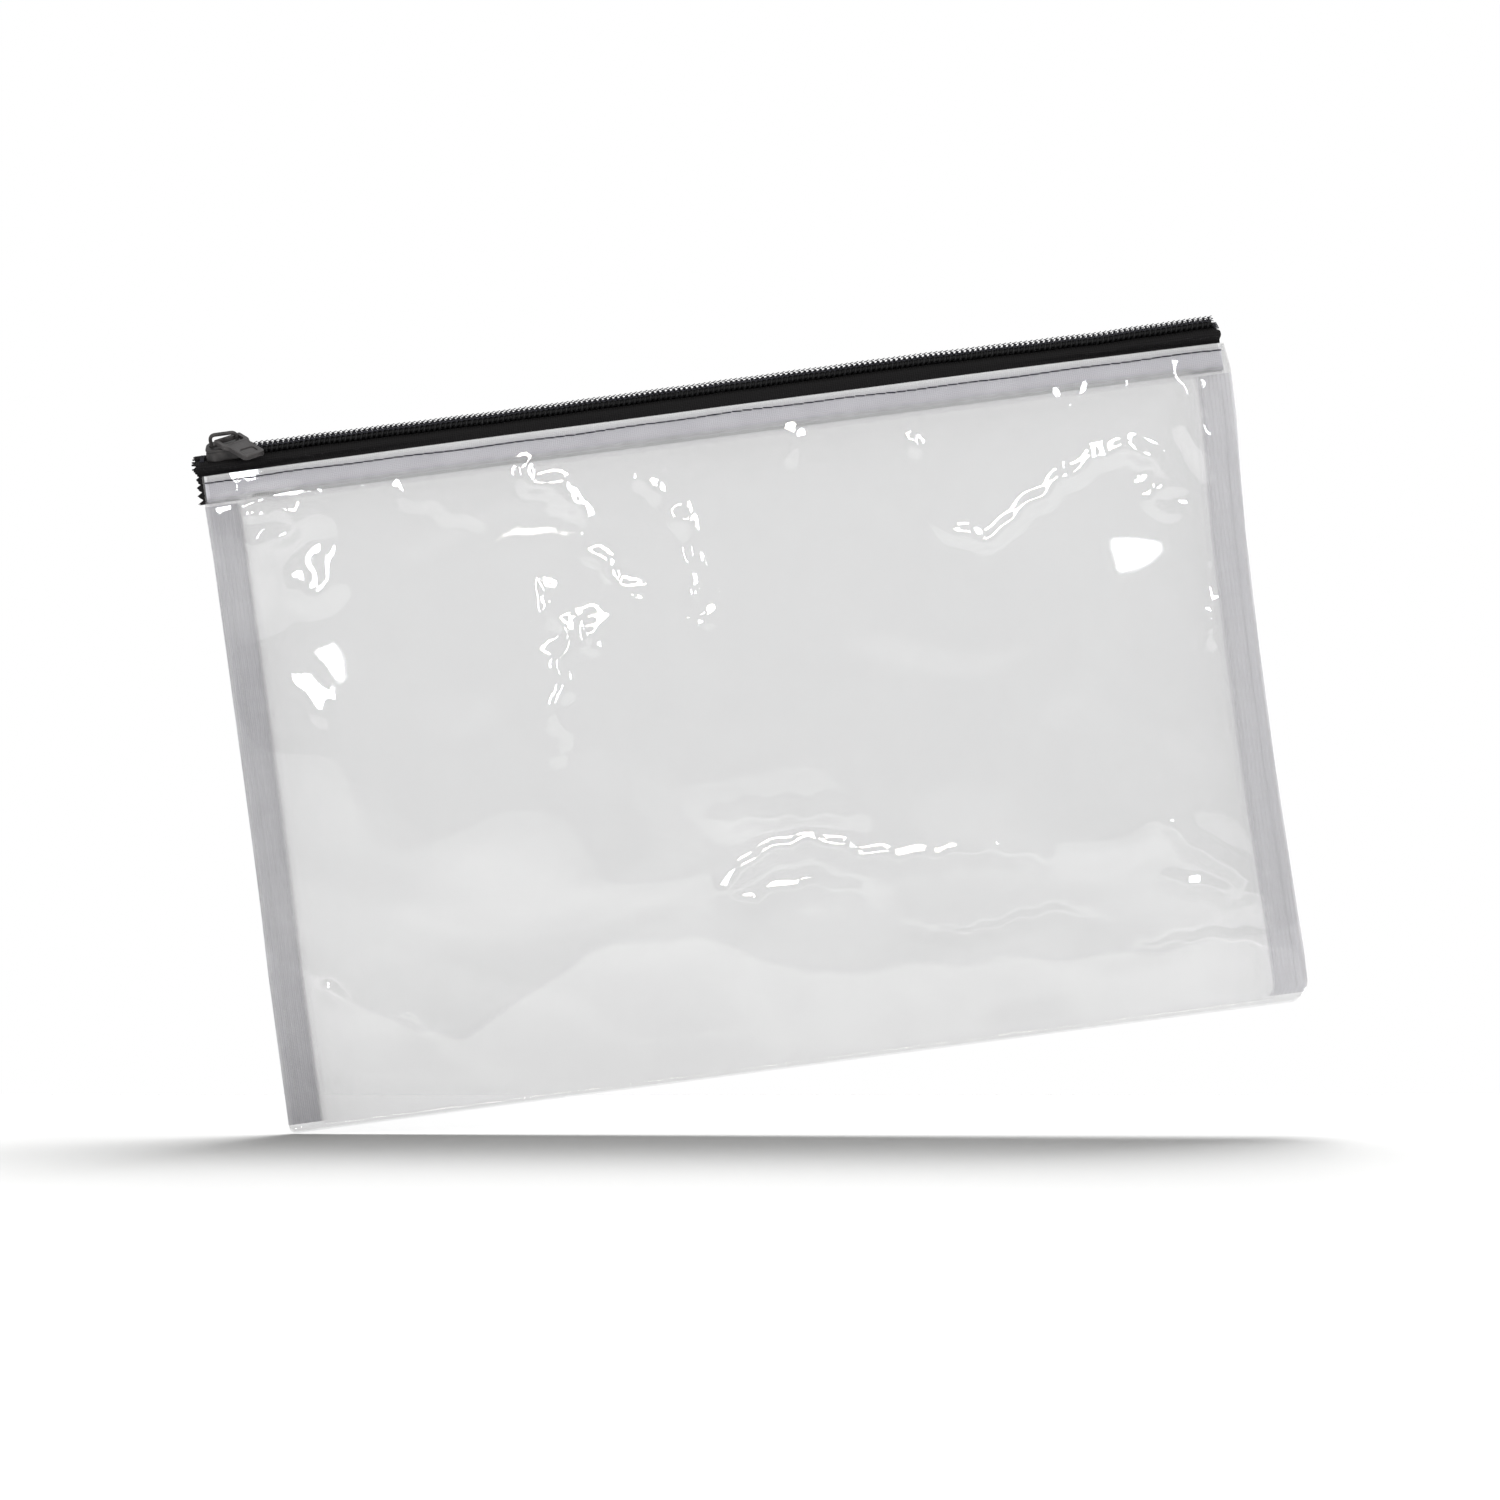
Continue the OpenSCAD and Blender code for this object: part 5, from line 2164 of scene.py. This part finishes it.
@dataclass
class Studio:
    """Floor, lights and camera."""

    lens: float = 100.0
    distance: float = 1.232
    aim: tuple[float, float, float] = (-0.002, 0.0, 0.0954)
    roll: float = 7.5
    room: float = 0.5

    def floor(self, paper: bpy.types.Material) -> bpy.types.Object:
        """A pale table top, level in the camera's view, that touches the bag's lower left corner.

        Args:
            paper: its finish.

        Returns:
            The stage object.
        """
        path = [(-2.5, 0.0), (-1.0, 0.0), (0.0, 0.0), (0.15, 0.0)]
        tilt = math.radians(self.roll)
        right = Vector((math.cos(tilt), 0.0, -math.sin(tilt)))
        up = Vector((math.sin(tilt), 0.0, math.cos(tilt)))
        corner = Vector((-0.1521, 0.0, -0.0002))
        points, faces = [], []
        spans = (-1.5, -0.5, 0.0, 0.5, 1.5)
        for across in spans:
            for y, rise in path:
                points.append(corner + right * across + Vector((0.0, y, 0.0)) + up * rise)
        rows = len(path)
        for i in range(len(spans) - 1):
            for j in range(rows - 1):
                a, b = i * rows + j, (i + 1) * rows + j
                faces.append((a, b, b + 1, a + 1))
        mesh = bpy.data.meshes.new("studio_floor")
        mesh.from_pydata([tuple(p) for p in points], [], faces)
        mesh.shade_smooth()
        mesh.materials.append(paper)
        made = bpy.data.objects.new("studio_floor", mesh)
        bpy.context.scene.collection.objects.link(made)
        return made

    def camera(self) -> bpy.types.Object:
        """The camera, level with the bag's middle and rolled as the bag appears turned.

        Returns:
            The camera object.
        """
        data = bpy.data.cameras.new("studio_camera")
        data.lens, data.sensor_width = self.lens, 36.0
        data.clip_start, data.clip_end = 0.05, 50.0
        made = bpy.data.objects.new("studio_camera", data)
        bpy.context.scene.collection.objects.link(made)
        tilt = math.radians(self.roll)
        turn = Matrix(((math.cos(tilt), math.sin(tilt), 0.0), (0.0, 0.0, -1.0),
                       (-math.sin(tilt), math.cos(tilt), 0.0))).to_4x4()
        made.matrix_world = Matrix.Translation((self.aim[0], -self.distance, self.aim[2])) @ turn
        bpy.context.scene.camera = made
        return made

    def light(self, floor: bpy.types.Object) -> None:
        """Bright even room with a few small windows of light for the film to catch.

        Args:
            floor: the stage, which has a lamp of its own for the bag's shadow.
        """
        world = bpy.data.worlds.new("studio_light")
        world.use_nodes = True
        tree = Tree(world.node_tree)
        room = world.node_tree.nodes["Background"]
        seen = tree.add("ShaderNodeLightPath").outputs["Is Camera Ray"]
        tree.join(tree.math("MULTIPLY_ADD", seen, 1.0 - self.room, self.room), room.inputs["Strength"])
        room.inputs["Color"].default_value = (1.0, 1.0, 1.0, 1.0)
        bpy.context.scene.world = world
        for box in SOFTBOXES:
            box.set_up()
        lamp = FLOOR_LAMP.set_up()
        lit = bpy.data.collections.new("lit_by_floor_lamp")
        lit.objects.link(floor)
        lamp.light_linking.receiver_collection = lit
        bpy.context.scene.view_settings.view_transform = "Standard"


# ------------------------------------------------------------------- the bag


def front_relief() -> Relief:
    """Creases of the front wall.

    Returns:
        The relief.
    """
    creases = (
        Crease(((-57.5, 191.0), (-57.0, 184.0), (-51.0, 180.5), (-45.0, 181.0)), 1.1, 2.6),
        Crease(((-50.0, 178.0), (-43.0, 174.0), (-42.0, 167.0)), 1.21, 2.73),
        Crease(((-44.0, 160.0), (-38.0, 156.5), (-36.5, 149.0)), 1.1, 2.6),
        Crease(((-57.0, 156.0), (-54.0, 145.0), (-52.0, 135.0), (-55.0, 118.0), (-57.5, 102.0)),
               0.924, 2.21, 1.1),
        Crease(((-22.0, 187.0), (-23.5, 179.0), (-17.0, 174.0)), 1.1, 2.6),
        Crease(((-19.0, 171.0), (-12.5, 165.0), (-11.0, 157.0)), 1.1, 2.6),
        Crease(((-10.5, 154.0), (-9.5, 146.0), (-11.5, 139.0), (-9.0, 130.0)), 0.99, 2.47),
        Crease(((57.0, 181.5), (60.0, 176.0)), 0.88, 2.08),
        Crease(((58.0, 159.5), (66.0, 151.5), (76.0, 147.9), (84.0, 152.5), (92.6, 158.0), (105.5, 165.0),
                (114.9, 168.5), (128.0, 167.0)), 1.1, 2.6),
        Crease(((118.0, 170.0), (127.0, 166.0), (130.5, 159.0), (126.0, 153.0), (133.0, 148.0)), 1.1, 2.6),
        Crease(((137.0, 193.0), (140.0, 184.0), (139.0, 172.0), (144.0, 160.0)), 1.1, 2.47),
        Crease(((80.3, 52.0), (64.5, 56.8), (46.7, 57.2), (29.0, 59.6), (12.0, 66.1), (-3.1, 63.5),
                (-12.7, 56.7), (-9.7, 50.8), (7.4, 53.6), (21.8, 49.6), (29.5, 40.6)), 1.21, 2.73),
        Crease(((32.3, 38.7), (45.0, 34.5), (58.4, 33.0), (79.5, 35.5), (96.7, 30.2)), 0.77, 2.08),
        Crease(((116.9, 59.5), (122.0, 52.0), (131.0, 45.0), (138.0, 38.2), (141.0, 30.5)), 1.21, 2.6),
        Crease(((114.6, 41.0), (124.0, 38.5), (134.0, 35.5)), 0.99, 2.21),
        Crease(((92.3, 18.9), (108.0, 21.0), (122.3, 21.5), (137.0, 19.5), (147.3, 15.0)), 0.77, 2.6),
        Crease(((-137.1, 43.5), (-134.0, 39.5), (-130.0, 36.0)), 0.88, 2.08),
        Crease(((-116.0, 31.5), (-110.0, 25.0), (-102.7, 21.6)), 0.88, 2.08),
        Crease(((-13.7, 75.5), (4.0, 75.0), (27.7, 72.1)), 0.66, 2.86),
        Crease(((-144.6, 193.0), (-141.0, 187.0), (-137.0, 184.5)), 0.77, 1.95),
        Crease(((-139.5, 184.5), (-132.0, 186.0), (-127.5, 181.0), (-131.0, 175.5), (-138.0, 175.0)),
               0.88, 2.08),
        Crease(((-96.0, 186.0), (-84.0, 180.0), (-70.0, 172.0)), 0.44, 3.12),
        Crease(((20.0, 190.0), (22.0, 184.0), (20.5, 178.0)), 0.66, 2.6),
        Crease(((100.0, 189.0), (104.0, 182.0), (101.0, 172.0)), 0.484, 3.12),
    )
    patches = (
        Patch((-45.0, 134.0), (8.0, 9.0), 0.20, 1.2),
        Patch((-57.0, 140.0), (5.0, 12.0), 0.14, 1.6),
        Patch((-30.0, 148.0), (4.5, 7.0), 0.20, 1.4),
        Patch((-11.0, 141.0), (5.0, 9.0), 0.2, 1.3),
        Patch((-121.0, 163.0), (9.0, 10.0), 0.10, 0.7),
        Patch((126.0, 160.0), (7.0, 6.0), 0.2, 1.2),
        Patch((139.0, 118.0), (4.0, 16.0), 0.10, 1.2),
        Patch((138.0, 34.0), (6.0, 5.0), 0.2, 1.2),
        Patch((-141.0, 190.0), (5.0, 4.0), 0.15, 1.3),
        Patch((20.0, 52.0), (30.0, 10.0), 0.07, 0.5),
    )
    facets = (
        Facet((-122.5, 166.0), (9.0, 11.0), (-0.076, 0.119)),
        Facet((-127.5, 129.0), (4.5, 8.5), (0.023, 0.060), 15.0),
        Facet((-52.0, 177.0), (4.0, 4.0), (-0.167, 0.081)),
        Facet((-42.0, 168.0), (3.0, 6.0), (-0.237, 0.077)),
        Facet((-49.0, 137.0), (8.0, 7.0), (-0.170, 0.004), 10.0),
        Facet((-57.5, 150.0), (2.5, 9.0), (-0.170, 0.046)),
        Facet((-37.0, 152.0), (2.5, 6.0), (-0.184, 0.039)),
        Facet((-30.0, 149.0), (4.5, 6.0), (0.030, 0.097)),
        Facet((-19.0, 183.0), (4.5, 3.5), (-0.162, 0.076), 30.0),
        Facet((-21.0, 176.0), (3.0, 4.0), (-0.145, 0.065)),
        Facet((-13.0, 168.0), (4.0, 4.5), (-0.206, 0.046)),
        Facet((-12.5, 156.0), (3.5, 5.0), (-0.207, 0.035)),
        Facet((-9.0, 140.0), (5.0, 7.0), (-0.221, 0.025), -10.0),
        Facet((125.0, 161.0), (5.0, 3.5), (0.017, 0.168), -25.0),
        Facet((133.0, 151.0), (4.0, 2.5), (-0.004, 0.160), 20.0),
        Facet((139.2, 121.0), (2.0, 11.0), (-0.090, 0.152), -5.0),
        Facet((139.5, 186.0), (2.0, 5.0), (-0.054, 0.086)),
        Facet((144.0, 170.0), (1.8, 7.0), (-0.029, 0.164)),
        Facet((57.5, 181.0), (3.0, 1.5), (0.109, 0.106), -30.0),
        Facet((137.0, 34.0), (5.0, 2.5), (-0.029, 0.266), 20.0),
        Facet((30.0, 187.0), (4.0, 2.0), (-0.053, 0.153)),
        Facet((-14.0, 130.0), (2.5, 2.0), (-0.227, 0.044)),
        Facet((-138.0, 191.5), (14.0, 6.0), (0.05, -0.30)),
    )
    return Relief(creases, patches, facets, wave=0.24, seed=SEED)


def back_relief() -> Relief:
    """Softer creases of the back wall.

    Returns:
        The relief.
    """
    creases = (
        Crease(((-100.0, 160.0), (-60.0, 172.0), (-20.0, 160.0)), 0.66, 3.9),
        Crease(((30.0, 120.0), (70.0, 108.0), (110.0, 122.0)), 0.66, 3.9),
        Crease(((-120.0, 60.0), (-70.0, 48.0), (-10.0, 62.0)), 0.66, 3.9),
        Crease(((60.0, 60.0), (90.0, 44.0), (130.0, 52.0)), 0.66, 3.38),
        Crease(((-30.0, 190.0), (-26.0, 170.0), (-33.0, 140.0)), 0.55, 3.38),
    )
    return Relief(creases, wave=0.35, seed=SEED + 5)


def report(made: bpy.types.Object) -> bpy.types.Object:
    """Logs a finished piece and returns it."""
    LOG.info("%s: %d points, %d faces", made.name, len(made.data.vertices), len(made.data.polygons))
    return made


@dataclass
class Bag:
    """The whole bag: builds each piece, dresses it, and sets the back wall's, slider's and pull's pieces on
    their bodies.
    """

    finishes: Finishes
    growers: Growers
    form: BagForm = field(default_factory=BagForm)

    def __post_init__(self) -> None:
        """Makes the sub-assemblies."""
        self.walls = FilmWalls(self.form, front_relief(), back_relief())
        self.woven = WovenParts(self.form, self.walls, self.growers)
        self.zipper = Zipper(self.form, self.walls, self.growers)
        self.sewing = Stitching(self.form, self.walls, self.growers)
        self.slider = Slider(self.zipper)

    def _on_back(self, made: bpy.types.Object, slot: Slot, *nodes: str) -> bpy.types.Object:
        """Sets a piece on the back wall.

        Args:
            made: the piece.
            slot: not used.
            nodes: the solids that it stands for.

        Returns:
            The same piece.
        """
        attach(made, Body.BACK.value)
        if nodes:
            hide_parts(*nodes)
        return report(made)

    def _across_mouth(self, made: bpy.types.Object, slot: Slot, side: Side, *nodes: str) -> bpy.types.Object:
        """Bakes the place of a piece of the front wall into its mesh and hides the solids that it stands for.

        Args:
            made: the piece.
            slot: not used.
            side: not used.
            nodes: the solids that it stands for.

        Returns:
            The same piece.
        """
        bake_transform(made)
        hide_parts(*nodes)
        return report(made)

    def film(self) -> None:
        """Builds the film walls and the seam allowances."""
        clear = self.finishes.film
        back = self._on_back(self.walls.back_wall(clear), Slot.FILM, "back_panel")
        for side in Side:
            wall = self.walls.front_half(side, clear, self.finishes.join)
            half = self._across_mouth(wall, Slot.FILM, side, "front_panel")
            flap = self._on_back(self.walls.allowance(side, clear), Slot.FILM)

    def cloth(self) -> None:
        """Builds the bindings and facings."""
        for side in Side:
            binding = self._on_back(self.woven.binding(side, self.finishes.binding[side]), Slot.FACING,
                                    f"{side.word}_seam_binding")
            facing = self._across_mouth(self.woven.front_facing(side, self.finishes.facing), Slot.FACING,
                                        side, "front_hem_facing")
        back = self._on_back(self.woven.back_facing(self.finishes.facing), Slot.FACING, "back_hem_facing")

    def sew(self) -> None:
        """Builds the rows of stitches."""
        black, clear = self.finishes.black_thread, self.finishes.clear_thread
        reach = 150.6
        for side in Side:
            start, end = (-reach, -0.4) if side is Side.LEFT else (1.1, reach)
            self._across_mouth(self.sewing.hem(f"hem_stitch_front_{side.word}", start, end, True, black),
                               Slot.BLACK_THREAD, side, "front_hem_stitch")
            self._on_back(self.sewing.seam(side, clear), Slot.CLEAR_THREAD, f"{side.word}_seam_thread")
        self._on_back(self.sewing.hem("hem_stitch_back", -reach, reach, False, black), Slot.BLACK_THREAD,
                      "back_hem_stitch")

    def zip(self) -> None:
        """Builds the zipper."""
        z, f = self.zipper, self.finishes
        middle_turn = z.start_x + z.pitch * round(-z.start_x / z.pitch)
        for side in Side:
            start, end = ((z.start_x, middle_turn) if side is Side.LEFT else (middle_turn, z.end_x))
            self._across_mouth(z.coil(f"coil_front_{side.word}", -1, start, end, f.coil),
                               Slot.COIL, side, "front_coil")
            self._across_mouth(z.cord(f"coil_cord_front_{side.word}", -1, start, end, f.cord),
                               Slot.COIL, side, "front_coil_core")
            self._across_mouth(z.thread(f"coil_thread_front_{side.word}", -1, start, end, f.black_thread),
                               Slot.BLACK_THREAD, side, "front_coil_thread")
            start, end = ((z.tape_start, 0.0) if side is Side.LEFT else (0.0, z.tape_end))
            tape = self._across_mouth(z.tape(f"tape_front_{side.word}", True, start, end, f.tape),
                                      Slot.TAPE, side, "front_zipper_tape")
        self._on_back(z.coil("coil_back", 1, z.start_x, z.end_x - 0.5, f.coil), Slot.COIL, "back_coil")
        self._on_back(z.cord("coil_cord_back", 1, z.start_x, z.end_x, f.cord), Slot.COIL, "back_coil_core")
        self._on_back(z.thread("coil_thread_back", 1, z.start_x, z.end_x, f.black_thread),
                      Slot.BLACK_THREAD, "back_coil_thread")
        tape = self._on_back(z.tape("tape_back", False, z.tape_start, z.tape_end, f.tape), Slot.TAPE,
                             "back_zipper_tape")
        self._on_back(z.end_tack("end_tack_left", -152.2, f.black_thread), Slot.BLACK_THREAD,
                      "left_end_tack")
        self._on_back(z.end_tack("end_tack_right", 150.8, f.black_thread), Slot.BLACK_THREAD,
                      "right_end_tack")

    def slide(self) -> None:
        """Builds the slider and its pull tab."""
        for made, body, node in (
                (self.slider.body(self.finishes.slider), Body.SLIDER, "slider_body"),
                (self.slider.pull(self.finishes.pull), Body.PULL, "pull_tab")):
            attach(made, body.value)
            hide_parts(node)
            report(made)


def main() -> None:
    """Builds the camera, the studio and the bag."""
    logging.basicConfig(level=logging.INFO, format="%(message)s")
    finishes = Finishes()
    studio = Studio()
    studio.camera()
    studio.light(studio.floor(finishes.paper))
    bpy.context.scene.cycles.transparent_max_bounces = 24
    bag = Bag(finishes, Growers())
    bag.film()
    bag.cloth()
    bag.sew()
    bag.zip()
    bag.slide()


if __name__ == "__main__":
    main()
